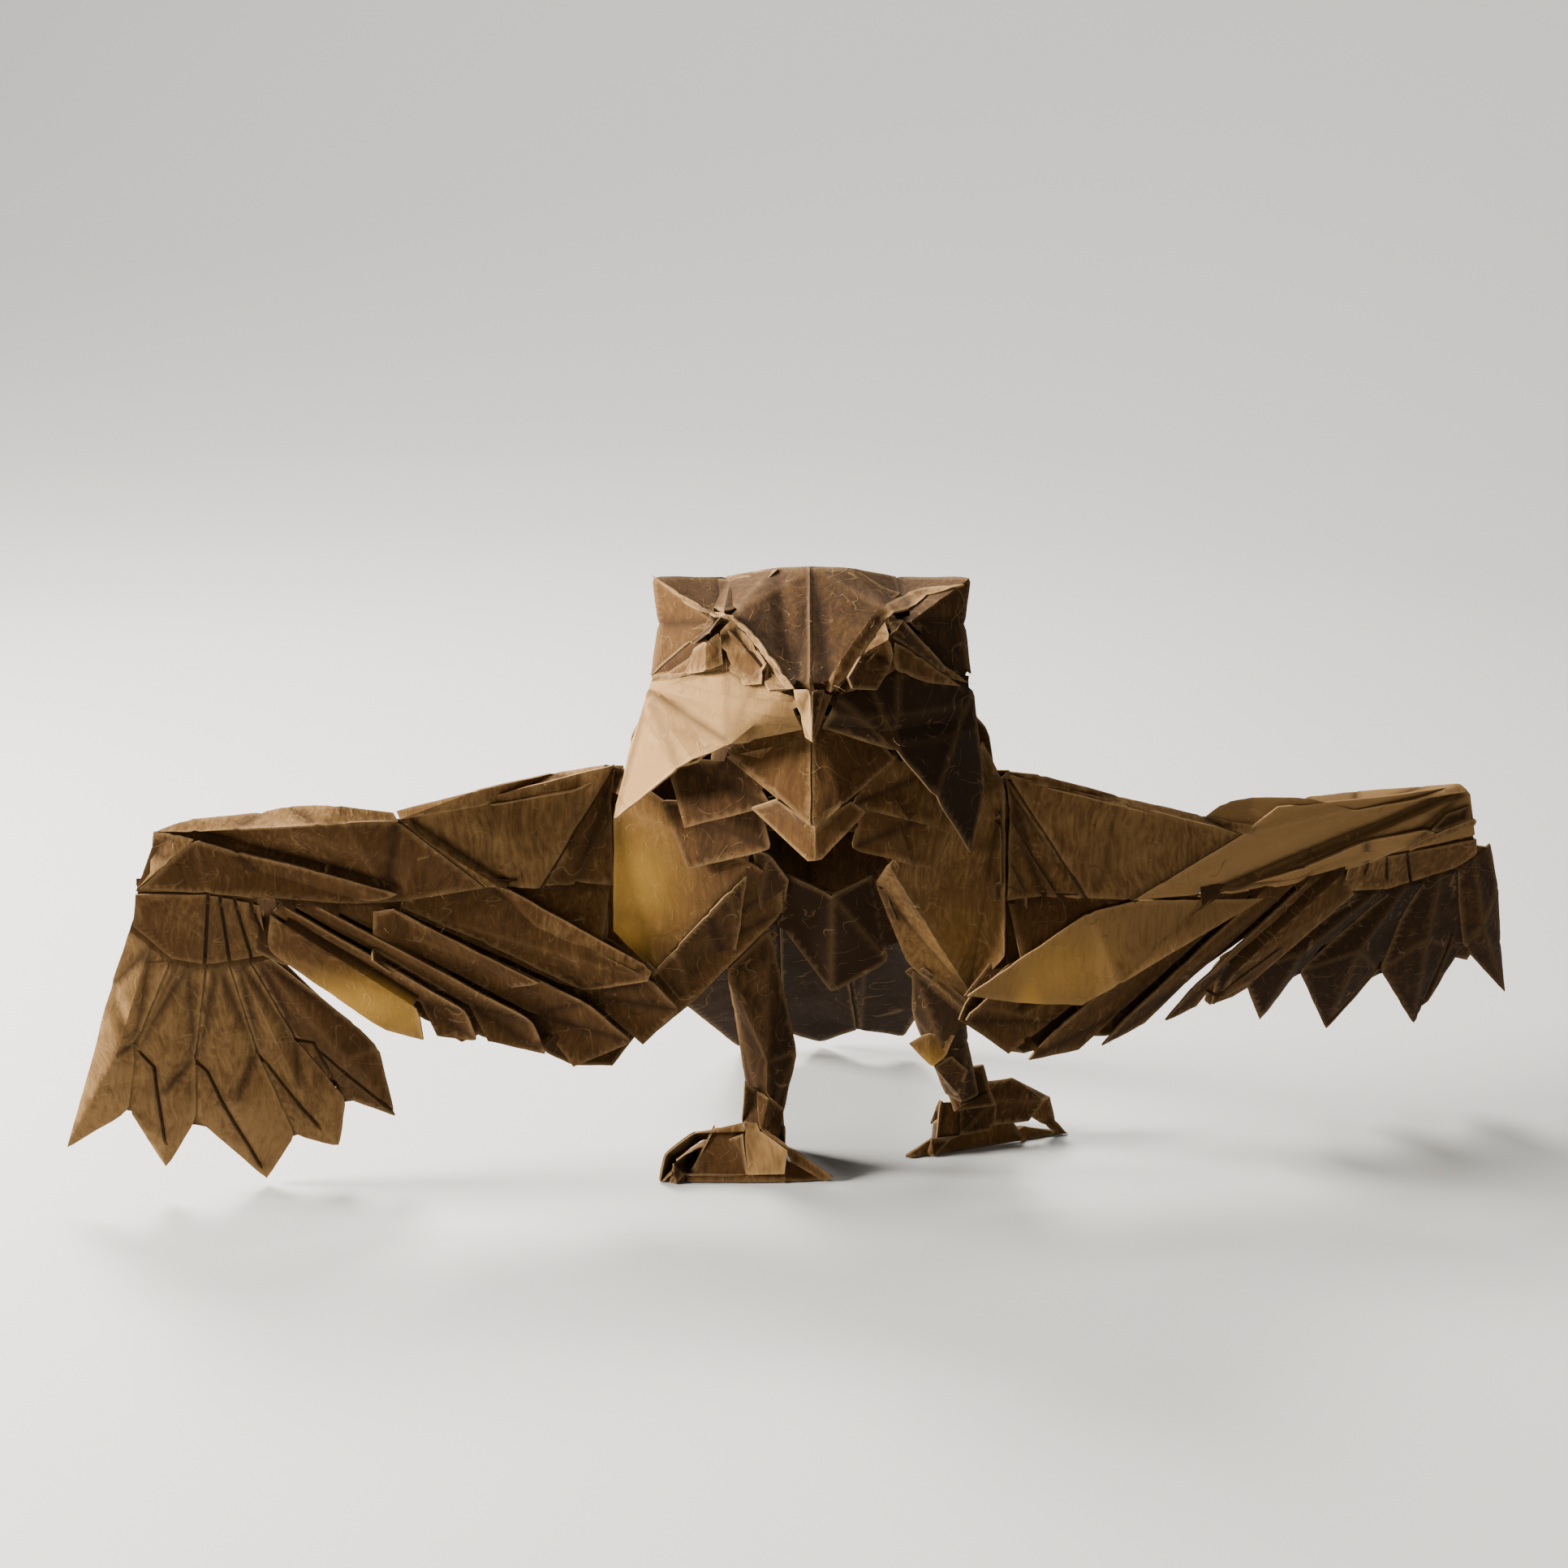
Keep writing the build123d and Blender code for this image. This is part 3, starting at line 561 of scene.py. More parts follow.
def foldedPiece(name, body, sheet, node=None, paintedGlows=(), tone=0.0, buckle=1.0, crumple=1.0, creases=(),
                thick=None, dark=0.0, step=None, under=(), crossing=None, let=None):
    # one piece of paper from a flat-faced sheet: creased, buckled, given its thickness and its notes: a
    # painted highlight on ridges, painted shade in valleys and under tucks, the paler cut edges, painted
    # translucency and a tone of painted light and shade
    thick = thick or paper["thick"]
    plans = pressCreases(sheet, node, creases)
    folds, cuts = lineNotes(sheet)
    spread(sheet, paper["reach"] if let is None else let)
    refine(sheet, step or paper["step"])
    sheet.verts.ensure_lookup_table()
    sheet.verts.index_update()
    points = np.array([corner.co for corner in sheet.verts])
    normals = np.array([corner.normal for corner in sheet.verts])
    edges = np.array([[corner.index for corner in edge.verts] for edge in sheet.edges])
    faces = [tuple(corner.index for corner in face.verts) for face in sheet.faces]
    sheet.free()
    border = borderOf(faces)

    # nearness to ridge folds becomes a painted highlight, nearness to valley folds painted shade
    nearRidge = nearness(points, [ends for ends, bend in folds if bend > 0], paper["ridge"])
    nearValley = nearness(points, [ends for ends, bend in folds if bend <= 0], paper["valley"])
    nearFold = nearness(points, [ends for ends, bend in folds], paper["soften"])
    nearCut = nearness(points, cuts, paper["rim"])
    inside = 1 - nearness(points, cuts, paper["calmEdge"])
    inside = inside * inside * (3 - 2 * inside)

    points = smoothNear(points, edges, nearFold)
    press, pressRidge, pressValley = creaseRise(points, plans)
    nearRidge, nearValley = np.maximum(nearRidge, pressRidge), np.maximum(nearValley, pressValley)
    seed = sum(ord(letter) for letter in name) * 0.137
    rise = press.copy()
    for index, point in enumerate(points):
        spot = Vector(point)
        swell = noise.noise(spot / paper["buckleSize"] + Vector((seed, 0, 0)))
        dent = crumpleOf(spot, seed, paper["crumpleSize"])
        ripple = noise.noise(spot / paper["rippleSize"] + Vector((0, seed, 0)))
        calm = 0.3 + 0.7 * inside[index]
        rise[index] += (swell * paper["buckle"] * buckle * inside[index]
                        + (min(dent, 0.5) - 0.25) * paper["crumple"] * crumple * calm * 2
                        + ripple * paper["ripple"])
    points = points + normals * rise[:, None]
    # cut edges are never quite straight
    for a, _ in border:
        wobble = noise.noise_vector(Vector(points[a]) / paper["wobbleSize"]) * paper["wobble"]
        points[a] += np.array(wobble)

    # painted translucency: soft spots where light would shine through this piece
    glow = np.zeros(len(points))
    if node:
        low, high = (np.array(corner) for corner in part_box(node))
        for spot, size, strength in paintedGlows:
            centre = low + (high - low) * np.array(spot)
            away = np.linalg.norm((points - centre) / np.array(size), axis=1)
            glow = np.maximum(glow, strength * np.exp(-away * away))

    morePoints, moreNormals, moreFaces, covered = tuckEdges(points, normals, border, under)
    if morePoints:
        points = np.vstack([points, morePoints])
        normals = np.vstack([normals, moreNormals])
        faces += moreFaces
        border = borderOf(faces)
    extra = len(morePoints)
    # painted shade: the strips tucked under the next flap are dark, and the edges that run under it are half
    # dark
    nearRidge = np.concatenate([nearRidge, np.zeros(extra)])
    nearValley = np.concatenate([nearValley, np.ones(extra)])
    nearCut = np.concatenate([nearCut, np.zeros(extra)])
    glow = np.concatenate([glow, np.zeros(extra)])
    for k in covered:
        nearCut[k] = 0
        nearValley[k] = max(nearValley[k], 0.5)

    count = len(points)
    points[:, 2] = np.maximum(points[:, 2], cadBox[0][2] + paper["floorGap"])
    back = points - normals * thick
    back[:, 2] = np.maximum(back[:, 2], cadBox[0][2] + paper["backGap"])
    allPoints = [tuple(point) for point in points] + [tuple(point) for point in back]
    allFaces = list(faces) + [tuple(count + k for k in reversed(face)) for face in faces]
    onBorder = sorted({k for pair in border for k in pair})
    middle = {k: 2 * count + place for place, k in enumerate(onBorder)}
    centroid = points.mean(axis=0)
    # a fine groove between the two pressed layers
    for k in onBorder:
        half = (points[k] + back[k]) / 2
        inward = centroid - half
        allPoints.append(tuple(half + inward / np.linalg.norm(inward) * paper["groove"]))
    for a, b in border:
        allFaces.append((b, a, middle[a], middle[b]))
        allFaces.append((middle[b], middle[a], count + a, count + b))
    mesh = bpy.data.meshes.new(name)
    mesh.from_pydata(allPoints, [], allFaces)
    mesh.polygons.foreach_set("use_smooth", [True] * len(allFaces))
    mesh.set_sharp_from_angle(angle=radians(paper["sharp"]))

    def keepNote(label, front, behind, edge):
        layer = mesh.attributes.new(label, "FLOAT", "POINT")
        values = np.concatenate([front, behind, np.full(len(onBorder), edge)])
        layer.data.foreach_set("value", values.astype(np.float32))

    # front face, back face, then the groove at the rims: the back takes the front's valleys as its painted
    # highlight and its ridges as its painted shade, dark paints shade over the whole piece, and tone is
    # painted light and shade
    keepNote("ridge", nearRidge, nearValley, 0.0)
    keepNote("valley", np.maximum(nearValley, dark), np.maximum(nearRidge, dark), dark)
    keepNote("rim", nearCut ** 2, nearCut ** 2, 1.0)
    keepNote("glow", glow, glow * 0.8, 0.0)
    keepNote("tone", np.full(count, tone), np.full(count, tone), tone)
    mesh.materials.append(kraftFinish)
    piece = bpy.data.objects.new(name, mesh)
    bpy.context.scene.collection.objects.link(piece)
    if crossing:
        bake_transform(piece)
    else:
        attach(piece, body)
    flapCount["pieces"] += 1
    flapCount["faces"] += len(allFaces)
    return piece


def makeFlap(node, **notes):
    # a CAD flap's outer sheet, tucked under the flaps that lie over it
    body = bodyOf[node]
    low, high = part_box(node)
    over = []
    for other in bodyOf:
        if bodyOf[other] == body and rankOf(other) <= rankOf(node) and other != node:
            if rankOf(other) == rankOf(node) and other > node:
                continue
            lowOther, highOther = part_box(other)
            gap = paper["boxGap"]
            if all(low[k] - gap < highOther[k] and lowOther[k] - gap < high[k] for k in range(3)):
                over.append(other)
    piece = foldedPiece(node + "Paper", body, sheets[node].copy(), node=node, under=over, **notes)
    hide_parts(node)


# layers drawn one by one: each corner as shares of its flap's box, (x, y, z)
# tone paints each layer lighter where it is lit and darker where it is shaded; dark paints shade over the
# whole layer, and the slots, linings, hems and the shin and ankle backs below are dark sheets laid where
# there is only shade; the translucency spots are painted light shining through
paperLayers = {
    "browLeft": {"node": "crown",
        "facets": ["abs", "bcrs", "cdqr", "depq", "efop", "fgno", "ghmn", "hilm", "ijkl"], "tone": 0.12,
        "marks": {"a": (-0.37, 0.733, 0.94), "b": (-0.22, 0.606, 0.797), "c": (-0.083, 0.511, 0.685),
                  "d": (-0.029, 0.523, 0.636), "e": (0.041, 0.393, 0.668), "f": (0.114, 0.362, 0.585),
                  "g": (0.188, 0.285, 0.484), "h": (0.273, 0.163, 0.322), "i": (0.345, 0.055, 0.17),
                  "j": (0.402, -0.027, 0.052), "k": (0.359, -0.009, 0.035), "l": (0.285, 0.139, 0.167),
                  "m": (0.21, 0.229, 0.348), "n": (0.141, 0.331, 0.486), "o": (0.077, 0.4, 0.576),
                  "p": (0.011, 0.393, 0.621), "q": (-0.052, 0.48, 0.637), "r": (-0.095, 0.478, 0.652),
                  "s": (-0.227, 0.605, 0.755)}},
    "lidLeft": {"node": "crown", "facets": ["abck", "kcdj", "jdefi", "ifgh"], "tone": 0.1,
        "marks": {"a": (0.012, 0.326, 0.5), "b": (0.065, 0.404, 0.589), "c": (0.12, 0.354, 0.525),
                  "d": (0.206, 0.227, 0.354), "e": (0.255, 0.154, 0.236), "f": (0.237, 0.094, 0.19),
                  "g": (0.229, 0.064, 0.061), "h": (0.138, 0.12, 0.025), "i": (0.109, 0.223, 0.044),
                  "j": (0.036, 0.255, 0.315), "k": (0.006, 0.287, 0.397)}},
    "lidInnerLeft": {"node": "crown", "facets": ["abf", "fbcde"], "tone": 0.14,
        "marks": {"a": (0.21, 0.233, 0.342), "b": (0.287, 0.146, 0.158), "c": (0.363, -0.004, 0.038),
                  "d": (0.271, -0.014, 0.033), "e": (0.246, 0.07, 0.078), "f": (0.258, 0.139, 0.219)}},
    "eyeTriangleLeft": {"node": "crown", "facets": ["abg", "bhfg", "hcdef"], "tone": 0.08,
        "marks": {"a": (-0.383, 0.722, -0.127), "b": (-0.199, 0.722, 0.1), "c": (0.003, 0.308, 0.492),
                  "d": (0.018, 0.271, 0.356), "e": (0.027, 0.249, 0.187), "f": (-0.07, 0.239, 0.116),
                  "g": (-0.188, 0.482, -0.007), "h": (-0.069, 0.275, 0.42)}},
    # painted shade: a black sheet in the shaded slot under the left ear
    "earSlotLeft": {"node": "crown", "facets": ["abcdef"], "dark": 1.0,
        "marks": {"a": (-0.383, 0.733, -0.125), "b": (-0.16, 0.53, 0.317), "c": (0.014, 0.426, 0.619),
                  "d": (0.028, 0.426, 0.586), "e": (-0.049, 0.317, 0.491), "f": (-0.231, 0.741, 0.075)}},
    "templeLeft": {"node": "crown", "facets": ["abch", "cdgh", "defg"], "dark": 0.3,
        "marks": {"a": (-0.043, 0.604, 0.66), "b": (-0.017, 0.938, 0.839), "c": (0.056, 0.944, 0.832),
                  "d": (0.182, 0.88, 0.906), "e": (0.32, 0.829, 0.975), "f": (0.197, 0.684, 0.811),
                  "g": (0.093, 0.543, 0.663), "h": (0.028, 0.43, 0.669)}},
    "browRight": {"node": "crown",
        "facets": ["abs", "bcrs", "cdqr", "depq", "efop", "fgno", "ghmn", "hilm", "ijkl"], "tone": 0.05,
        "marks": {"a": (1.326, 0.696, 0.862), "b": (1.24, 0.698, 0.854), "c": (1.07, 0.744, 0.803),
                  "d": (0.989, 0.719, 0.728), "e": (0.887, 0.469, 0.717), "f": (0.831, 0.415, 0.655),
                  "g": (0.768, 0.317, 0.527), "h": (0.704, 0.221, 0.393), "i": (0.63, 0.1, 0.229),
                  "j": (0.554, 0.034, 0.018), "k": (0.593, 0.005, -0.001), "l": (0.686, 0.078, 0.138),
                  "m": (0.761, 0.207, 0.321), "n": (0.823, 0.303, 0.449), "o": (0.883, 0.399, 0.579),
                  "p": (0.941, 0.421, 0.665), "q": (1.038, 0.55, 0.667), "r": (1.122, 0.659, 0.76),
                  "s": (1.257, 0.666, 0.829)}},
    "lidRight": {"node": "crown", "facets": ["abh", "bcgh", "cdefg"], "tone": 0.0,
        "marks": {"a": (0.889, 0.395, 0.573), "b": (0.912, 0.257, 0.443), "c": (0.934, 0.22, 0.234),
                  "d": (0.844, 0.107, -0.015), "e": (0.71, 0.029, 0.029), "f": (0.688, -0.0, 0.146),
                  "g": (0.764, 0.208, 0.314), "h": (0.827, 0.308, 0.448)}},
    "eyeTriangleRight": {"node": "crown", "facets": ["abfgh", "bcef", "cde"], "tone": 0.0,
        "marks": {"a": (0.943, 0.266, 0.404), "b": (1.063, 0.354, 0.248), "c": (1.176, 0.472, 0.04),
                  "d": (1.32, 0.62, -0.194), "e": (1.131, 0.415, -0.074), "f": (1.007, 0.276, 0.066),
                  "g": (0.95, 0.242, 0.131), "h": (0.932, 0.223, 0.233)}},
    # painted shade: a black sheet in the shaded slot under the right ear
    "earSlotRight": {"node": "crown", "facets": ["abcdefg"], "dark": 1.0,
        "marks": {"a": (0.905, 0.434, 0.602), "b": (0.984, 0.43, 0.579), "c": (1.122, 0.322, 0.324),
                  "d": (1.322, 0.701, -0.202), "e": (1.176, 0.487, 0.046), "f": (0.975, 0.306, 0.389),
                  "g": (0.932, 0.295, 0.441)}},
    "templeRight": {"node": "crown", "facets": ["abg", "bcdefg"], "dark": 0.3,
        "marks": {"a": (0.897, 0.567, 0.701), "b": (0.864, 0.696, 0.771), "c": (0.698, 0.797, 0.948),
                  "d": (0.768, 0.848, 0.936), "e": (0.885, 0.768, 0.807), "f": (0.985, 0.792, 0.739),
                  "g": (0.95, 0.682, 0.716)}},
    "beakLeft": {"node": "crown", "facets": ["abef", "bcde"], "tone": 0.22, "thick": 0.00025,
        "marks": {"a": (0.398, -0.014, 0.035), "b": (0.485, -0.087, 0.065), "c": (0.49, -0.142, -0.442),
                  "d": (0.46, -0.119, -0.412), "e": (0.434, -0.041, -0.223), "f": (0.41, -0.041, -0.071)}},
    "beakRight": {"node": "crown", "facets": ["abcd", "ade"], "tone": -0.05, "thick": 0.00025,
        "marks": {"a": (0.494, -0.087, 0.058), "b": (0.562, -0.023, 0.032), "c": (0.54, -0.08, -0.136),
                  "d": (0.515, -0.112, -0.309), "e": (0.497, -0.159, -0.443)}},
    "chevronLeft": {"node": "breast_upper", "facets": ["abcde"],
        "marks": {"a": (0.136, 1.021, 0.111), "b": (0.291, 0.219, 0.302), "c": (0.519, 0.083, -0.009),
                  "d": (0.52, 0.082, -0.419), "e": (0.476, 0.094, -0.427)}},
    "chevronRight": {"node": "breast_upper", "facets": ["abcdef"],
        "marks": {"a": (0.519, 0.083, -0.009), "b": (0.636, 0.195, 0.158), "c": (0.732, 0.219, 0.286),
                  "d": (0.825, 0.219, 0.156), "e": (0.56, 0.094, -0.404), "f": (0.52, 0.082, -0.419)}},
    "covertOneLeft": {"node": "secondary_1_left", "facets": ["abij", "bchi", "cdeh", "efgh"], "tone": 0.05,
        "marks": {"a": (-0.04, -0.039, 0.955), "b": (0.189, 0.278, 0.99), "c": (0.364, 0.278, 1.044),
                  "d": (0.428, 0.195, 1.017), "e": (0.898, 0.595, 0.51), "f": (0.908, 0.595, 0.479),
                  "g": (0.894, 0.558, 0.423), "h": (0.666, 0.618, 0.36), "i": (0.324, 0.254, 0.699),
                  "j": (0.038, -0.015, 0.946)}},
    "covertTwoLeft": {"node": "secondary_2_left", "facets": ["abcdef"],
        "marks": {"a": (0.162, 0.053, 0.953), "b": (0.231, 0.047, 0.96), "c": (0.697, 0.488, 0.516),
                  "d": (0.665, 0.504, 0.501), "e": (0.479, 0.834, 0.434), "f": (0.157, 0.048, 0.83)}},
    "covertThreeLeft": {"node": "secondary_3_left", "facets": ["abcd"],
        "marks": {"a": (0.322, 0.31, 0.707), "b": (0.605, 0.689, 0.411), "c": (0.481, 0.908, 0.398),
                  "d": (0.33, -0.048, 0.663)}},
    "armRollLeft": {"node": "upper_arm_left", "facets": ["abgh", "bcfg", "cdef"], "tone": 0.1,
        "marks": {"a": (-0.008, 0.018, 0.684), "b": (0.398, 0.336, 0.753), "c": (0.827, 0.744, 0.821),
                  "d": (0.959, 0.88, 0.921), "e": (0.968, 1.033, 0.996), "f": (0.708, 1.098, 0.914),
                  "g": (0.355, 0.142, 0.907), "h": (-0.028, 0.077, 0.748)}},
    "forearmRollLeft": {"node": "forearm_left", "facets": ["abj", "bcij", "cdhi", "dgh", "defg"],
        "tone": 0.1,
        "marks": {"a": (0.063, 0.178, 0.961), "b": (0.174, 0.217, 0.952), "c": (0.299, 0.264, 0.972),
                  "d": (0.534, 0.368, 0.991), "e": (0.765, 0.642, 0.973), "f": (0.749, 0.716, 1.061),
                  "g": (0.575, 0.655, 1.154), "h": (0.438, 0.654, 1.148), "i": (0.359, 0.612, 1.084),
                  "j": (0.155, 0.327, 1.068)}},
    "wristFacetLeft": {"node": "forearm_left", "facets": ["abg", "bcdg", "defg"], "tone": 0.1,
        "marks": {"a": (0.057, 0.168, 0.957), "b": (0.119, 0.183, 0.932), "c": (0.172, 0.211, 0.865),
                  "d": (0.102, 0.078, 0.651), "e": (0.003, -0.007, 0.354), "f": (0.043, 0.04, 0.522),
                  "g": (0.047, 0.168, 0.768)}},
    "lipLeft": {"node": "forearm_left", "facets": ["abhi", "bcgh", "cdfg", "def"], "tone": 0.0,
        "marks": {"a": (0.102, 0.078, 0.651), "b": (0.174, 0.18, 0.872), "c": (0.293, 0.283, 0.704),
                  "d": (0.519, 0.492, 0.428), "e": (0.746, 0.757, 0.103), "f": (0.706, 0.749, 0.019),
                  "g": (0.402, 0.624, 0.051), "h": (0.199, 0.184, 0.254), "i": (0.012, -0.028, 0.353)}},
    "armRollRight": {"node": "upper_arm_right", "facets": ["abij", "bchi", "cdgh", "defg"], "tone": 0.08,
        "marks": {"a": (-0.024, 0.03, 0.978), "b": (0.154, 0.091, 0.902), "c": (0.491, 0.407, 0.723),
                  "d": (0.949, 0.96, 0.49), "e": (1.062, 0.899, 0.454), "f": (1.052, 0.963, 0.526),
                  "g": (0.843, 1.065, 0.592), "h": (0.477, 0.612, 0.783), "i": (0.143, 0.099, 0.988),
                  "j": (-0.002, 0.102, 1.015)}},
    "forearmRollRight": {"node": "forearm_right", "facets": ["abk", "bijk", "bchi", "cgh", "cdfg", "def"],
        "tone": 0.3,
        "marks": {"a": (0.168, 0.222, 0.832), "b": (0.302, 0.195, 0.704), "c": (0.624, 0.551, 0.873),
                  "d": (0.824, 0.781, 0.933), "e": (0.962, 0.938, 0.97), "f": (0.953, 1.007, 1.043),
                  "g": (0.842, 1.039, 0.987), "h": (0.646, 0.932, 0.967), "i": (0.47, 0.373, 1.085),
                  "j": (0.327, 0.4, 1.076), "k": (0.244, 0.3, 1.047)}},
    "lipRight": {"node": "forearm_right", "facets": ["abh", "bcgh", "cdfg", "def"], "tone": 0.26,
        "marks": {"a": (0.203, 0.309, -0.07), "b": (0.491, 0.463, 0.232), "c": (0.669, 0.613, 0.487),
                  "d": (0.863, 0.824, 0.553), "e": (0.88, 0.845, 0.488), "f": (0.807, 0.823, 0.354),
                  "g": (0.69, 0.817, 0.142), "h": (0.472, 0.518, 0.013)}},
    # painted shade: a black sheet in the shaded slot at the right wrist
    "wristSlotRight": {"node": "forearm_right", "facets": ["abcde"], "dark": 1.0,
        "marks": {"a": (0.863, 0.836, 0.537), "b": (0.909, 0.86, 0.724), "c": (0.975, 0.914, 0.804),
                  "d": (0.981, 0.915, 0.639), "e": (0.886, 0.85, 0.509)}},
    "wristLipRight": {"node": "cover_right", "facets": ["abfg", "bcdef"], "tone": 0.1,
        "marks": {"a": (0.433, 0.003, 0.975), "b": (0.638, 0.043, 1.227), "c": (0.912, 0.296, 1.429),
                  "d": (0.94, 0.351, 1.374), "e": (0.938, 0.424, 1.288), "f": (0.707, 0.209, 1.114),
                  "g": (0.451, 0.203, 0.836)}},
    "covertOneRight": {"node": "secondary_1_right", "facets": ["abfgh", "bcdef"], "tone": 0.22,
        "paintedGlows": [((0.4, 0.5, 0.56), (0.008, 0.03, 0.006), 0.45),
        ((0.27, 0.5, 0.3), (0.0025, 0.03, 0.006), 0.8)],
        "marks": {"a": (0.012, -0.051, 0.47), "b": (0.509, 0.437, 0.941), "c": (0.71, 0.639, 0.981),
                  "d": (0.988, 0.919, 0.937), "e": (1.244, 0.935, 0.941), "f": (0.64, 0.399, 0.455),
                  "g": (0.491, 0.391, 0.314), "h": (0.228, 0.132, 0.383)}},
    "flankWrapLeft": {"node": "flank_left", "facets": ["abhi", "bcgh", "cdfg", "def"], "tone": -0.05,
        "marks": {"a": (0.239, 0.748, 0.256), "b": (0.368, 0.582, 0.345), "c": (0.564, 0.332, 0.48),
                  "d": (0.697, 0.167, 0.572), "e": (0.793, 0.089, 0.626), "f": (0.732, 0.696, 0.342),
                  "g": (0.674, 0.908, 0.253), "h": (0.432, 0.861, 0.141), "i": (0.377, 0.852, 0.146)}},
    "footTopLeft": {"node": "foot_left", "facets": ["abgh", "bcfg", "cdef"], "tone": 0.05,
        "marks": {"a": (-0.247, 0.013, 0.009), "b": (-0.191, -0.019, 0.584), "c": (0.09, 0.185, 0.863),
                  "d": (0.573, 0.155, 1.092), "e": (0.584, 0.119, 0.956), "f": (0.131, 0.915, 0.183),
                  "g": (-0.102, 0.402, 0.186), "h": (-0.137, -0.033, 0.248)}},
    "footSideLeft": {"node": "foot_left", "facets": ["abcfg", "cdef"], "tone": -0.1,
        "marks": {"a": (-0.176, -0.001, -0.138), "b": (-0.113, -0.012, 0.406), "c": (0.059, 0.401, 0.362),
                  "d": (0.567, 0.105, 0.897), "e": (0.618, 0.013, 0.155), "f": (-0.001, -0.01, 0.172),
                  "g": (-0.087, -0.046, 0.025)}},
    "footFrontLeft": {"node": "foot_left", "facets": ["abcd", "adefg"], "tone": 0.15,
        "marks": {"a": (0.584, 0.117, 0.947), "b": (0.587, 0.155, 1.103), "c": (0.716, 0.17, 1.069),
                  "d": (0.745, 0.118, 0.957), "e": (1.008, 0.005, 0.653), "f": (0.979, -0.032, 0.212),
                  "g": (0.618, 0.013, 0.155)}},
    "footClawLeft": {"node": "foot_left", "facets": ["abfg", "bcdef"], "tone": 0.05,
        "marks": {"a": (0.716, 0.177, 1.064), "b": (1.031, 0.041, 0.702), "c": (1.467, 0.026, 0.098),
                  "d": (1.376, 0.029, 0.015), "e": (1.045, 0.019, 0.412), "f": (1.002, 0.019, 0.648),
                  "g": (0.759, 0.125, 0.952)}},
    "footTopRight": {"node": "foot_right", "facets": ["abcdg", "gdef"], "tone": -0.1,
        "marks": {"a": (0.454, 0.274, 1.188), "b": (0.837, 0.268, 1.269), "c": (1.267, 0.5, 0.751),
                  "d": (1.196, 0.355, 0.773), "e": (1.035, 0.368, 0.375), "f": (0.601, 0.199, 0.417),
                  "g": (0.499, 0.19, 0.892)}},
    "footClawRight": {"node": "foot_right", "facets": ["abcfg", "cdef"], "tone": 0.05,
        "marks": {"a": (1.17, 0.355, 0.789), "b": (1.267, 0.494, 0.756), "c": (1.341, 0.506, 0.3),
                  "d": (1.484, 0.532, -0.011), "e": (1.426, 0.519, -0.035), "f": (1.224, 0.5, 0.193),
                  "g": (1.054, 0.361, 0.474)}},
    "footSideRight": {"node": "foot_right", "facets": ["abgh", "bcdg", "defg"], "tone": -0.15,
        "marks": {"a": (0.03, 0.679, 0.116), "b": (0.272, 0.079, 1.108), "c": (0.547, 0.262, 1.115),
                  "d": (0.672, 0.244, 0.907), "e": (0.67, 0.227, 0.451), "f": (0.586, 0.188, 0.325),
                  "g": (0.284, 0.066, 0.323), "h": (-0.03, -0.022, 0.334)}},
    "toeFoldRight": {"node": "foot_right", "facets": ["abcd"], "tone": -0.1,
        "marks": {"a": (-0.03, -0.028, 0.339), "b": (0.188, 0.018, 0.304), "c": (0.004, -0.044, -0.019),
                  "d": (-0.091, -0.012, -0.066)}},
    # painted shade: a dark sheet behind the left shin
    "shinBackLeft": {"node": "leg_left", "facets": ["abcdef"], "dark": 0.8,
        "marks": {"a": (0.246, 0.305, 0.251), "b": (0.421, 0.668, 0.18), "c": (0.805, 1.078, 0.046),
                  "d": (0.814, 1.025, -0.074), "e": (0.461, 0.701, -0.04), "f": (0.191, 1.04, -0.009)}},
    "shinLowLeft": {"node": "leg_left", "facets": ["abfg", "bcdef"], "tone": -0.05,
        "marks": {"a": (0.413, 0.538, 0.19), "b": (0.592, 0.389, 0.173), "c": (0.805, 0.845, 0.079),
                  "d": (0.797, 0.947, -0.06), "e": (0.719, 0.623, -0.055), "f": (0.462, 0.592, -0.013),
                  "g": (0.408, 0.968, -0.006)}},
    # painted shade: a dark sheet at the right ankle
    "ankleRight": {"node": "leg_right", "facets": ["abcdef"], "dark": 0.9,
        "marks": {"a": (0.454, 0.761, 0.195), "b": (1.068, 1.041, 0.198), "c": (1.176, 1.014, 0.031),
                  "d": (1.263, 1.014, -0.065), "e": (0.669, 0.808, -0.062), "f": (0.597, 0.967, 0.002)}},
    "shinRight": {"node": "leg_right", "facets": ["abcde"], "tone": -0.05,
        "marks": {"a": (0.34, 0.292, 0.328), "b": (0.574, 0.37, 0.383), "c": (0.814, 0.613, 0.243),
                  "d": (0.712, 0.686, 0.067), "e": (0.653, 0.785, 0.046)}},
    "shinGlowRight": {"node": "leg_right", "facets": ["abe", "bcde"], "tone": 0.05,
        "paintedGlows": [((0.35, 0.5, 0.3), (0.003, 0.03, 0.004), 0.6)],
        "marks": {"a": (-0.005, 0.336, 0.468), "b": (0.244, 0.284, 0.548), "c": (0.594, 0.227, 0.54),
                  "d": (0.5, 0.319, 0.402), "e": (0.308, 0.284, 0.325)}},
    # painted shade: a dark hem on the left flank
    "flankHemLeft": {"node": "flank_left", "facets": ["abfe", "bcdef"], "dark": 0.9,
        "marks": {"a": (0.831, 0.003, 0.715), "b": (0.924, -0.014, 0.706), "c": (1.036, 0.353, 0.59),
                  "d": (1.017, 0.626, 0.501), "e": (0.882, 0.804, 0.377), "f": (0.86, 0.437, 0.517)}},
    "heelLeft": {"node": "foot_left", "facets": ["abgh", "bcfg", "cdef"], "dark": 0.3,
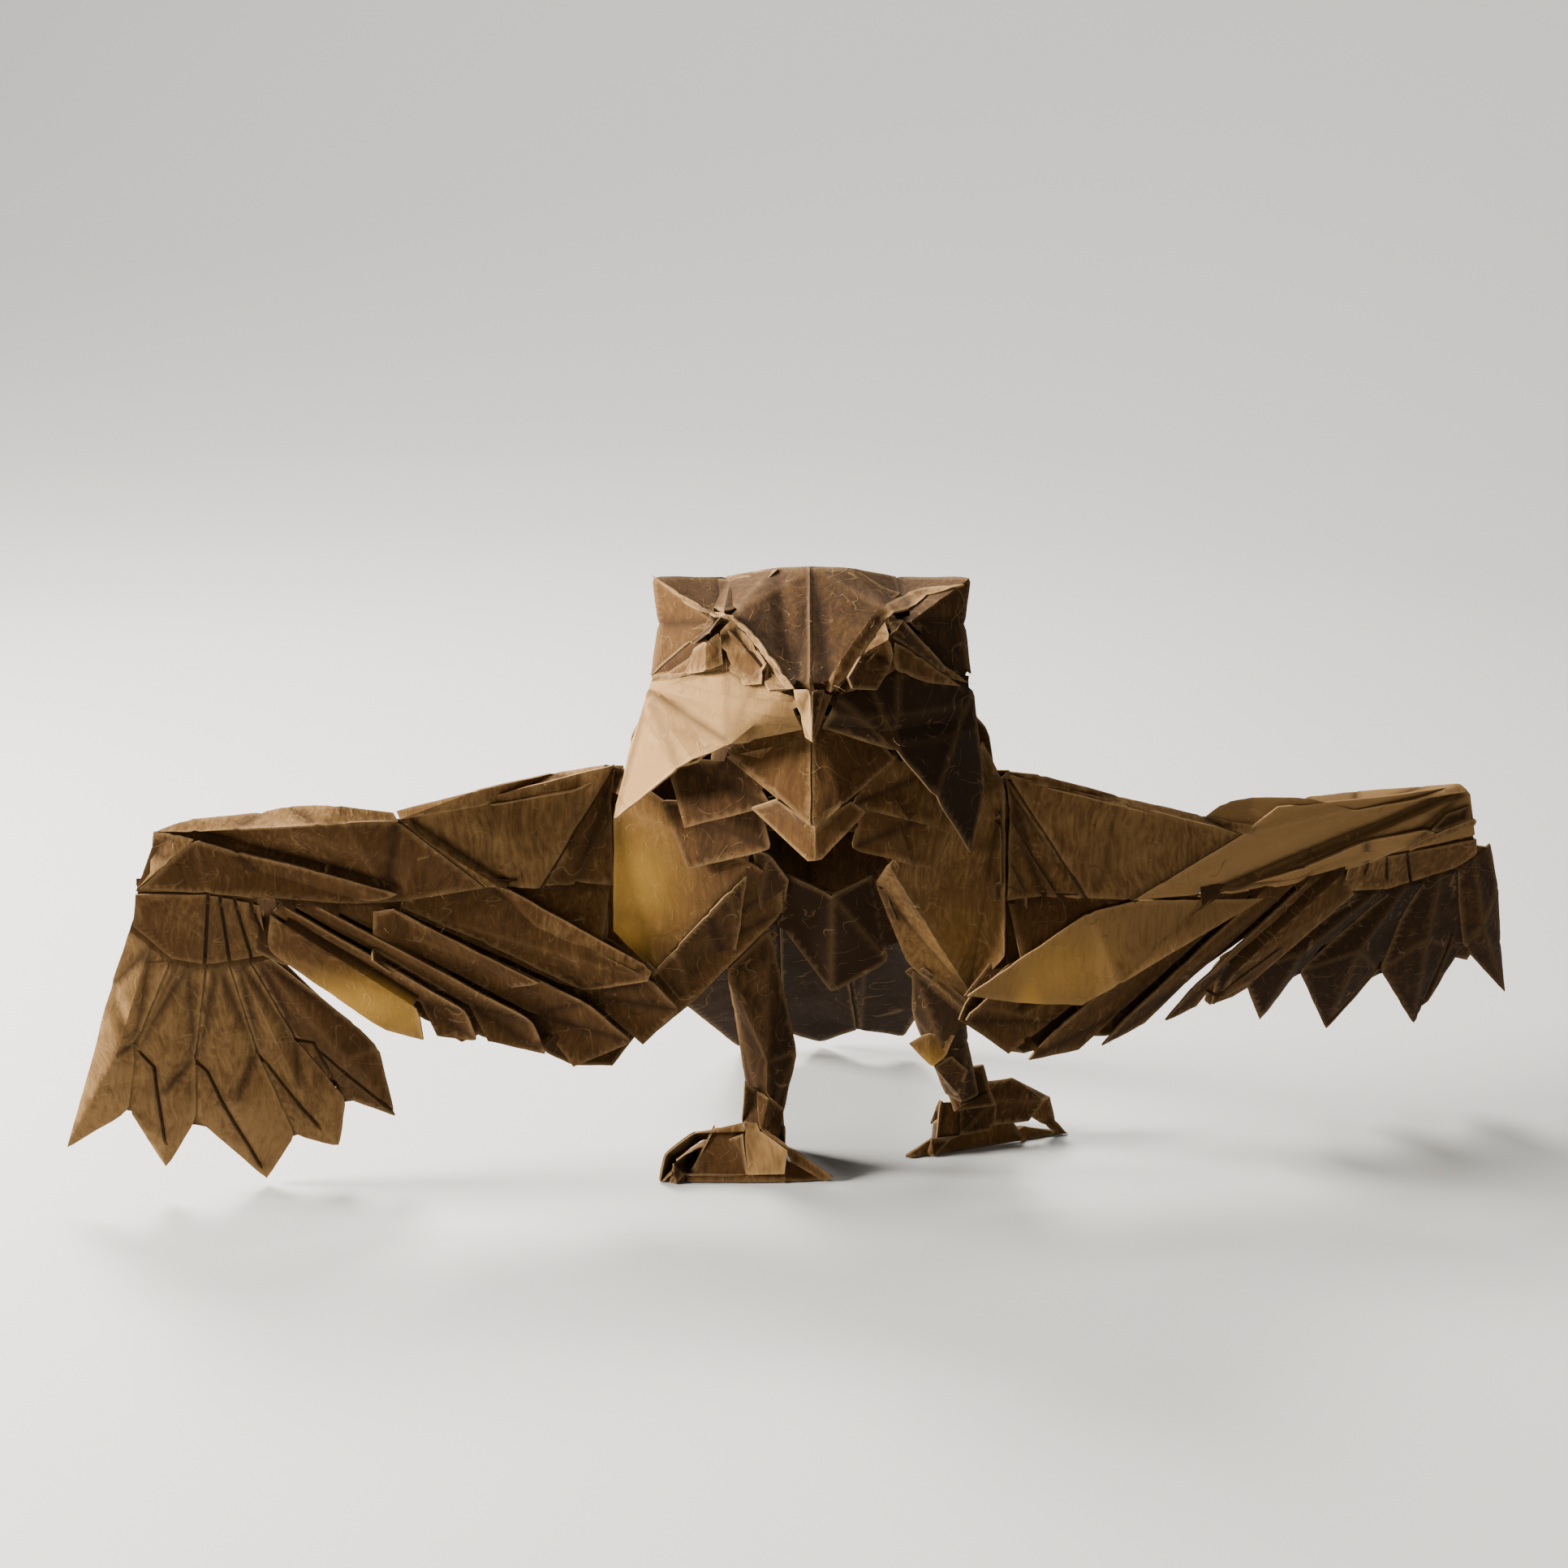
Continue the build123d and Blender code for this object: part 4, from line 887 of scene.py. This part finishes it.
        "marks": {"a": (-0.19, 0.051, 0.126), "b": (-0.106, 0.5, 0.113), "c": (0.127, 1.014, 0.111),
                  "d": (0.586, 0.228, 0.924), "e": (1.002, 0.111, 0.604), "f": (0.973, 0.076, 0.282),
                  "g": (0.629, 0.058, 0.208), "h": (-0.003, 0.046, 0.13)}},
    "eyeShadowLeft": {"node": "crown", "facets": ["abcd", "adef"], "dark": 0.9,
        "marks": {"a": (-0.11, 0.599, 0.674), "b": (0.123, 0.619, 0.714), "c": (0.174, 0.427, 0.51),
                  "d": (0.065, 0.325, 0.288), "e": (-0.097, 0.454, 0.167), "f": (-0.245, 0.778, 0.041)}},
    "eyeShadowRight": {"node": "crown", "facets": ["abcf", "cdef"], "dark": 0.9,
        "marks": {"a": (0.785, 0.473, 0.564), "b": (0.836, 0.599, 0.721), "c": (1.05, 0.689, 0.69),
                  "d": (1.3, 0.773, -0.079), "e": (1.185, 0.531, 0.017), "f": (0.915, 0.312, 0.293)}},
    "bibLeft": {"node": "breast_upper", "facets": ["abce", "ecd"], "tone": 0.02,
        "marks": {"a": (-0.007, 0.94, 0.81), "b": (0.138, 0.976, 1.032), "c": (0.49, 0.551, 1.328),
                  "d": (0.491, -0.13, 0.015), "e": (0.267, 0.35, 0.385)}},
    "bibRight": {"node": "breast_upper", "facets": ["abcdf", "def"], "tone": -0.05,
        "marks": {"a": (0.501, 0.551, 1.328), "b": (0.844, 0.976, 1.064), "c": (1.001, 0.831, 0.731),
                  "d": (0.683, 0.018, 0.259), "e": (0.523, -0.13, -0.008), "f": (0.502, -0.13, 0.012)}},
    "shoulderTuckLeft": {"node": "shoulder_left", "facets": ["abcdi", "dghi", "defg"], "dark": 0.4,
        "marks": {"a": (0.585, 1.129, 0.889), "b": (0.915, 1.129, 0.999), "c": (1.098, 1.129, 0.999),
                  "d": (1.043, 1.101, -0.479), "e": (1.51, 1.099, -0.79), "f": (1.351, 1.099, -0.892),
                  "g": (0.772, 1.047, -0.619), "h": (0.539, 0.895, -0.213), "i": (0.562, 0.901, 0.28)}},
    "shoulderTuckRight": {"node": "shoulder_right", "facets": ["abcdgh", "defg"], "dark": 0.4,
        "marks": {"a": (0.263, 0.181, 0.938), "b": (0.033, 0.336, 1.033), "c": (-0.087, 0.482, 1.027),
                  "d": (-0.017, 0.439, -0.449), "e": (-0.404, 0.437, -0.809), "f": (-0.166, 0.437, -0.836),
                  "g": (0.344, 0.333, -0.477), "h": (0.309, 0.683, 0.305)}},
    # painted shade: a dark sheet in the top of the left wing's pocket
    "pocketTopLeft": {"node": "secondary_5_left", "facets": ["abcde"], "dark": 0.9,
        "marks": {"a": (-0.082, 0.397, 1.123), "b": (0.185, 0.301, 1.132), "c": (0.242, 0.422, 0.583),
                  "d": (0.087, 0.263, 0.62), "e": (-0.098, 0.263, 0.72)}},
    # painted shade: a darkened lining behind the left fan
    "fanLiningLeft": {"node": "primary_3_left", "facets": ["abjk", "bhij", "bcgh", "cdg", "defg"],
        "dark": 0.4,
        "marks": {"a": (-0.372, -0.153, 1.123), "b": (0.151, 0.019, 1.061), "c": (1.056, 0.28, 1.03),
                  "d": (1.587, 0.653, 0.758), "e": (1.882, 0.855, 0.566), "f": (1.568, 0.973, 0.393),
                  "g": (1.01, 0.848, 0.354), "h": (0.422, 0.683, 0.332), "i": (-0.112, 0.619, 0.353),
                  "j": (-0.708, 0.416, 0.449), "k": (-0.971, 0.216, 0.51)}},
    # painted shade: a darkened lining behind the right fan
    "fanLiningRight": {"node": "primary_3_right", "facets": ["abhj", "bcgh", "cdfg", "def", "hij"],
        "dark": 0.6,
        "marks": {"a": (1.611, 0.147, 1.145), "b": (0.863, -0.034, 1.119), "c": (0.426, -0.199, 1.154),
                  "d": (0.012, -0.002, 1.036), "e": (-0.182, 0.253, 0.622), "f": (0.221, 0.568, 0.405),
                  "g": (0.856, 0.825, 0.361), "h": (1.36, 0.763, 0.483), "i": (1.735, 0.93, 0.414),
                  "j": (1.881, 0.763, 0.621)}},
    "featherInnerRight": {"node": "primary_5_right", "facets": ["abci", "cdhi", "defgh"], "dark": 0.5,
        "marks": {"a": (1.044, 0.342, 1.115), "b": (0.791, 0.187, 1.094), "c": (0.468, 0.354, 0.872),
                  "d": (-0.036, 0.384, 0.383), "e": (-0.042, 1.121, 0.024), "f": (-0.0, 1.121, -0.011),
                  "g": (0.164, 1.069, 0.059), "h": (0.405, 0.939, 0.248), "i": (0.65, 0.614, 0.543)}},
    # painted shade: a dark lining behind the left wing
    "wingLiningLeft": {"node": "secondary_3_left",
        "facets": ["abopq", "bcmno", "cdelm", "efkl", "fijk", "fghi"], "dark": 0.9,
        "marks": {"a": (-0.092, 0.188, 0.95), "b": (0.453, 0.826, 0.995), "c": (0.875, 1.149, 1.075),
                  "d": (1.271, 1.96, 1.052), "e": (1.271, 1.409, 0.677), "f": (1.436, 1.554, 0.465),
                  "g": (1.522, 1.615, 0.257), "h": (1.406, 1.816, -0.023), "i": (1.383, 1.77, 0.053),
                  "j": (1.272, 1.534, -0.135), "k": (1.102, 1.535, -0.135), "l": (0.984, 1.164, -0.006),
                  "m": (0.72, 0.979, 0.109), "n": (0.649, 0.908, 0.075), "o": (0.513, 1.08, 0.18),
                  "p": (0.212, 0.394, 0.543), "q": (-0.037, 0.162, 0.735)}},
    # painted shade: a dark lining behind the right wing
    "wingLiningRight": {"node": "secondary_3_right",
        "facets": ["abno", "bklmn", "bijk", "bchi", "cfgh", "cdef"], "dark": 0.9,
        "marks": {"a": (-0.482, 0.095, 1.003), "b": (-0.105, 0.203, 0.934), "c": (0.5, 0.801, 0.931),
                  "d": (0.96, 1.161, 1.019), "e": (1.167, 1.285, 1.074), "f": (1.003, 1.049, 0.852),
                  "g": (0.586, 0.977, 0.431), "h": (0.355, 0.548, 0.29), "i": (0.071, 0.218, 0.033),
                  "j": (-0.083, 0.189, 0.038), "k": (-0.378, -0.135, -0.025), "l": (-0.466, -0.125, -0.01),
                  "m": (-0.711, -0.434, 0.254), "n": (-0.67, -0.409, 0.399), "o": (-0.482, -0.154, 0.578)}},
}
# creases pressed into a flap: kind, start and end as shares (x, z) of its box, fade
drawnCreases = {
    "cheek_left": [("groove", (0.206, 0.8), (0.996, 0.799), 0.1),
        ("ridge", (0.232, 0.734), (0.723, 0.639), 0.1), ("ridge", (0.228, 0.717), (0.453, 0.473), 0.1)],
    "cheek_right": [("groove", (0.043, 0.746), (0.835, 0.685), 0.1)],
    "cover_left": [("slit", (0.622, 0.952), (0.487, -0.058), 0.02),
        ("slit", (0.705, 0.935), (0.692, -0.075), 0.02), ("slit", (0.814, 0.842), (0.88, -0.104), 0.02),
        ("slit", (0.933, 0.792), (1.036, -0.003), 0.02)],
    "cover_right": [("slit", (0.143, 0.595), (0.136, 0.351), 0.05),
        ("slit", (0.281, 0.727), (0.325, 0.253), 0.05), ("slit", (0.437, 0.774), (0.529, 0.135), 0.05)],
    "crown": [("ridgeFine", (0.49, 0.97), (0.485, 0.036), 0.05),
        ("dent", (0.32, 0.902), (0.381, 0.179), 0.2)],
    "forearm_left": [("valleyWide", (0.157, 0.949), (0.739, 0.15), 0.05)],
    "forearm_right": [("valleyWide", (0.216, -0.027), (0.957, 0.967), 0.05)],
    "primary_1_left": [("dent", (0.553, 0.743), (0.654, 0.458), 0.2)],
    "primary_1_right": [("slit", (0.264, 0.377), (0.773, 0.062), 0.02)],
    "primary_2_left": [("ridgeFine", (0.786, 0.991), (0.211, 0.622), 0.03),
        ("slit", (0.199, 0.59), (0.344, 0.517), 0.02), ("slit", (0.344, 0.517), (0.295, 0.149), 0.02)],
    "primary_2_right": [("slit", (0.819, 0.592), (0.704, 0.017), 0.02)],
    "primary_3_left": [("slit", (0.079, 0.579), (0.196, 0.533), 0.02),
        ("slit", (0.196, 0.533), (0.594, 0.061), 0.02)],
    "primary_3_right": [("slit", (0.897, 0.491), (0.437, 0.05), 0.02)],
    "primary_4_left": [("slit", (0.063, 0.527), (0.188, 0.472), 0.02),
        ("slit", (0.188, 0.472), (0.653, 0.124), 0.02)],
    "primary_4_right": [("slit", (0.629, 0.586), (0.255, 0.021), 0.02)],
    "primary_5_left": [("slit", (0.242, 0.505), (0.393, 0.491), 0.02),
        ("slit", (0.393, 0.491), (0.549, 0.144), 0.02), ("slit", (0.427, 0.44), (1.001, 0.019), 0.02)],
    "secondary_1_right": [("valleyWide", (0.259, 0.323), (1.247, 0.921), 0.05)],
    "secondary_5_right": [("slit", (0.444, 0.378), (-0.031, 0.003), 0.02)],
    "shoulder_left": [("step", (1.041, 0.731), (0.386, 0.013), 0.05)],
    "shoulder_right": [("step", (0.027, 0.895), (1.04, -0.008), 0.03),
        ("step", (0.04, 0.67), (0.681, 0.021), 0.03), ("step", (0.06, 0.332), (0.28, 0.054), 0.03)],
    "tier_lower_right": [("step", (0.45, 0.655), (0.587, -0.071), 0.1)],
    "tier_upper_right": [("step", (0.415, 0.43), (0.602, -0.012), 0.1)],
    "upper_arm_left": [("step", (0.981, 0.981), (0.631, 0.003), 0.05),
        ("valleyWide", (0.015, 0.694), (0.491, 0.027), 0.05), ("dent", (0.828, 0.906), (0.79, 0.411), 0.2),
        ("dent", (0.429, 0.781), (0.407, 0.299), 0.2)],
    "upper_arm_right": [("dent", (0.474, 0.795), (0.418, 0.168), 0.2)],
}
# the profile across each kind of crease: away from its line and up, in millimetres
creaseShapes = {
    "ridgeFine": [(-0.4, 0), (0, 0.22), (0.4, 0)], "ridge": [(-2.5, 0), (0, 0.55), (2.5, 0)],
    "groove": [(-2.0, 0), (0, -0.6), (2.0, 0)], "dent": [(-1.8, 0), (0, -0.3), (1.8, 0)],
    "slit": [(-0.30, 0), (-0.12, -0.75), (0.12, -0.75), (0.30, 0)], "step": [(-0.05, 0), (0, 0.5), (3.5, 0)],
    "valleyWide": [(-4.5, 0), (-0.2, -1.1), (0.9, 0)],
}
# painted translucency spots, where light would shine through the paper: middle as shares of the flap's box,
# size, strength; tone paints a flap lighter where it is lit and darker where it is shaded; dark paints shade
# over a whole flap
flapNotes = {
    "flank_left": {"paintedGlows": [((0.12, 0.5, 0.58), (0.007, 0.03, 0.009), 0.55),
                             ((0.06, 0.5, 0.38), (0.004, 0.03, 0.005), 0.6)]},
    "flank_right": {"paintedGlows": [((0.62, 0.5, 0.30), (0.006, 0.03, 0.010), 0.15)], "tone": 0.06},
    "secondary_5_left": {"paintedGlows": [((0.45, 0.5, 0.25), (0.014, 0.03, 0.005), 0.9)]},
    "secondary_4_left": {"paintedGlows": [((0.25, 0.5, 0.15), (0.006, 0.03, 0.004), 0.5)]},
    "cheek_left": {"tone": 0.30}, "cheek_right": {"tone": -0.22}, "ear_tuft_right": {"tone": -0.12},
    "crown": {"tone": -0.07}, "breast_upper": {"tone": 0.10},
    "lining": {"tone": -0.2, "dark": 0.7}, "breast_lower": {"tone": -0.2, "dark": 0.6},
    "tier_upper_left": {"tone": -0.06}, "tier_lower_left": {"tone": -0.05},
    "tier_upper_right": {"tone": 0.05},
    "tail_left": {"tone": -0.15, "dark": 0.3, "let": 0.0},
    "tail_middle": {"tone": -0.2, "dark": 0.3, "let": 0.0},
    "tail_right": {"tone": -0.2, "dark": 0.3, "let": 0.0},
    "leg_left": {"tone": -0.12}, "leg_right": {"tone": -0.14},
    "upper_arm_left": {"tone": 0.12}, "upper_arm_right": {"tone": 0.1}, "forearm_right": {"tone": 0.26},
    "shoulder_right": {"tone": 0.06}, "cover_left": {"tone": 0.05}, "primary_1_left": {"tone": 0.16},
    "primary_2_left": {"tone": 0.14}, "primary_3_left": {"tone": 0.14}, "primary_4_left": {"tone": 0.1},
    "primary_1_right": {"tone": -0.1}, "primary_2_right": {"tone": -0.15}, "primary_3_right": {"tone": -0.2},
    "primary_4_right": {"tone": -0.2}, "primary_5_right": {"tone": -0.2}, "cover_right": {"tone": 0.05},
}
for node in bodyOf:
    pressed = [(start, end, creaseShapes[kind], fade)
               for kind, start, end, fade in drawnCreases.get(node, [])]
    makeFlap(node, creases=pressed, **flapNotes.get(node, {}))
print("flaps folded", flapCount)


laid = {"buckle": 0.3, "crumple": 0.5, "step": 0.0009, "let": 0.0}


def layPaper(name, plan):
    # a smaller folded layer lying over a flap
    node = plan["node"]
    sheet = bmesh.new()
    marks = {key: sheet.verts.new(atShare(node, share)) for key, share in plan["marks"].items()}
    for facet in plan["facets"]:
        sheet.faces.new([marks[key] for key in facet])
    bmesh.ops.recalc_face_normals(sheet, faces=sheet.faces)
    sheet.normal_update()
    if sum(face.normal.y * face.calc_area() for face in sheet.faces) > 0:
        bmesh.ops.reverse_faces(sheet, faces=sheet.faces)
        sheet.normal_update()
    notes = {key: value for key, value in plan.items() if key in ("tone", "dark", "thick", "paintedGlows")}
    foldedPiece(name, bodyOf[node], sheet, node=node, **laid, **notes)


for name, plan in paperLayers.items():
    layPaper(name, plan)
print("layers laid", flapCount)

# a pleated collar inside the neck, so the opening under the face never shows through; low and high
# are its reach all round, in millimetres, and rows are heights with the share of high in each
collar = {"middle": (0.5, 0.355), "rows": ((0.54, 0.0), (0.70, 0.1), (0.86, 0.45), (1.065, 1.0)),
          "pleat": 0.0007,
          "low": (12.0, 7.0, 6.0, 6.0, 7.0, 8.0, 12.0, 17.0, 18.0, 18.5, 18.5, 16.0),
          "high": (6.0, 3.8, 3.2, 3.5, 4.5, 5.5, 9.0, 15.0, 16.5, 17.0, 17.0, 14.0)}


def makeCollar():
    made = bmesh.new()
    count = 2 * len(collar["low"])
    rings = []
    for height, mix in collar["rows"]:
        centre = atShare("back", (*collar["middle"], height))
        ring = []
        for k in range(count):
            after = (k + 1) // 2 % (count // 2)
            reach = [(collar[end][k // 2] + collar[end][after]) / 2000 for end in ("low", "high")]
            wide = reach[0] * (1 - mix) + reach[1] * mix + collar["pleat"] * (-1) ** k
            angle = 2 * pi * k / count
            ring.append(made.verts.new(Vector(centre) + Vector((cos(angle) * wide, sin(angle) * wide, 0))))
        rings.append(ring)
    for low, high in zip(rings, rings[1:]):
        for k in range(count):
            after = (k + 1) % count
            made.faces.new((low[k], low[after], high[after], high[k]))
    made.normal_update()
    # painted shade: the collar is darkened, as the inside of the neck lies in shadow
    foldedPiece("collar", "torso", made, buckle=0.4, crumple=0.6, dark=0.35, tone=-0.1)


makeCollar()

# paper hinges: the sheet runs on from one body to the next
hingeSeams = {
    "neckFold": ("nape", "back"),
    "shoulderFoldLeft": ("shoulder_left", "flank_left"),
    "shoulderFoldRight": ("shoulder_right", "flank_right"),
    "wristFoldLeft": ("cover_left", "forearm_left"), "wristFoldRight": ("cover_right", "forearm_right"),
    "hipFoldLeft": ("leg_left", "flank_left"), "hipFoldRight": ("leg_right", "flank_right"),
    "tailFold": ("tail_middle", "back"), "tailFoldLeft": ("tail_left", "back"),
    "tailFoldRight": ("tail_right", "back"),
}
hinge = {"reach": 0.0045, "lap": 0.0016, "drop": 0.0005, "touch": 0.0003, "lean": 0.3, "shortest": 0.0004,
         "thick": 0.0002}


def hingeStrip(name, child, parent):
    # joins the nearest cut edge of the child flap to the face of its parent, behind both
    lap, drop = hinge["lap"], hinge["drop"]
    sheet = sheets[child].copy()
    refine(sheet, paper["step"])
    sheet.verts.ensure_lookup_table()
    sheet.verts.index_update()
    points = np.array([corner.co for corner in sheet.verts])
    normals = np.array([corner.normal for corner in sheet.verts])
    border = borderOf([tuple(corner.index for corner in face.verts) for face in sheet.faces])
    sheet.free()
    rows, strip = {}, []
    for a, b in border:
        pair = []
        for k in (a, b):
            spot, normal, _, away = sheetTrees[parent].find_nearest(Vector(points[k]), hinge["reach"])
            if spot is None:
                break
            out = np.cross(points[b] - points[a], normals[k])
            out /= max(np.linalg.norm(out), 1e-9)
            way = np.array(spot) - points[k]
            if away > hinge["touch"] and way @ out < hinge["lean"] * away:
                break
            normal = np.array(normal)
            run = out - normal * (out @ normal)
            run /= max(np.linalg.norm(run), 1e-9)
            if k not in rows:
                rows[k] = [points[k] - out * lap - normals[k] * drop, points[k] - normals[k] * drop,
                           np.array(spot) - normal * drop, np.array(spot) + run * lap - normal * drop]
            pair.append(k)
        if len(pair) == 2:
            strip.append((a, b))
    if not strip:
        print("no seam found for", name)
        return
    made = bmesh.new()
    corners = {k: [made.verts.new(Vector(spot)) for spot in spots] for k, spots in rows.items()
               if any(k in pair for pair in strip)}
    for a, b in strip:
        for row in range(3):
            made.faces.new((corners[b][row], corners[a][row], corners[a][row + 1], corners[b][row + 1]))
    made.normal_update()
    start = sum((Vector(rows[k][1]) for k in corners), Vector()) / len(corners)
    end = sum((Vector(rows[k][2]) for k in corners), Vector()) / len(corners)
    if (end - start).length < hinge["shortest"]:
        end = start + (end - start).normalized() * hinge["shortest"]
    # painted shade: the strip is darkened, as the seam between the flaps lies in shadow
    foldedPiece(name, bodyOf[child], made, buckle=0.0, crumple=0.2, dark=0.8, thick=hinge["thick"],
                crossing=(bodyOf[child], bodyOf[parent], start, end))


for seam, (child, parent) in hingeSeams.items():
    hingeStrip(seam, child, parent)
print("paper hinges", flapCount)

# loose fibres standing off the paper
fuzz = {"head": 240, "torso": 200, "wing_left": 170, "wing_right": 170, "hand_left": 50, "hand_right": 50,
        "leg_left": 16, "leg_right": 16, "tail": 30}
hair = {"long": (0.0008, 0.0030), "thick": 0.000018, "curl": 0.55, "lift": 0.0001, "foldShare": 0.7,
        "stand": (0.1, 0.8), "knots": 6, "bend": 0.35, "overFloor": 0.002, "clear": 0.0045}


def addFuzz(body, count):
    # three-sided fibres off the cut edges and folds, kept inside the box and clear of other bodies
    draw = random.Random(len(body) * 17 + count)
    starts = []
    for node in bodyOf:
        if bodyOf[node] == body:
            for edge in sheets[node].edges:
                a, b = edge.verts
                onCut = len(edge.link_faces) == 1
                weight = (b.co - a.co).length * (1.0 if onCut else hair["foldShare"])
                starts.append((weight, a.co.copy(), b.co.copy(), edge.link_faces[0].normal.copy()))
    points, faces = [], []
    weights = [start[0] for start in starts]
    for _ in range(count):
        _, a, b, normal = draw.choices(starts, weights)[0]
        spot = a.lerp(b, draw.random()) + normal * hair["lift"]
        way = (normal * draw.uniform(*hair["stand"])
               + Vector([draw.uniform(-1, 1) for _ in range(3)])).normalized()
        turn = Vector([draw.uniform(-1, 1) for _ in range(3)]) * hair["curl"]
        length = draw.uniform(*hair["long"])
        tip = spot + way * length
        outside = any(not cadBox[0][k] < tip[k] < cadBox[1][k] for k in range(3))
        if outside or spot.z < hair["overFloor"]:
            continue
        others = [node for node in bodyOf if bodyOf[node] != body]
        if any(sheetTrees[node].find_nearest(spot, hair["clear"])[0] for node in others):
            continue
        rings = []
        for step in range(hair["knots"]):
            side = way.orthogonal().normalized()
            other = way.cross(side)
            thick = hair["thick"] * (1 - step / (hair["knots"] + 1))
            ring = []
            for corner in range(3):
                angle = corner * 2 * pi / 3
                ring.append(len(points))
                points.append(spot + side * cos(angle) * thick + other * sin(angle) * thick)
            rings.append(ring)
            spot = spot + way * length / (hair["knots"] - 1)
            way = (way + turn * hair["bend"]).normalized()
        for low, high in zip(rings, rings[1:]):
            for corner in range(3):
                after = (corner + 1) % 3
                faces.append((low[corner], low[after], high[after], high[corner]))
        faces += [tuple(reversed(rings[0])), tuple(rings[-1])]
    mesh = bpy.data.meshes.new("fuzz_" + body)
    mesh.from_pydata([tuple(point) for point in points], [], faces)
    for label, value in (("ridge", 1.0), ("valley", 0.0), ("rim", 1.0), ("glow", 0.0), ("tone", 0.3)):
        layer = mesh.attributes.new(label, "FLOAT", "POINT")
        layer.data.foreach_set("value", np.full(len(points), value, dtype=np.float32))
    mesh.materials.append(kraftFinish)
    piece = bpy.data.objects.new("fuzz_" + body, mesh)
    bpy.context.scene.collection.objects.link(piece)
    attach(piece, body)


for body, count in fuzz.items():
    addFuzz(body, count)
print("fibres added")
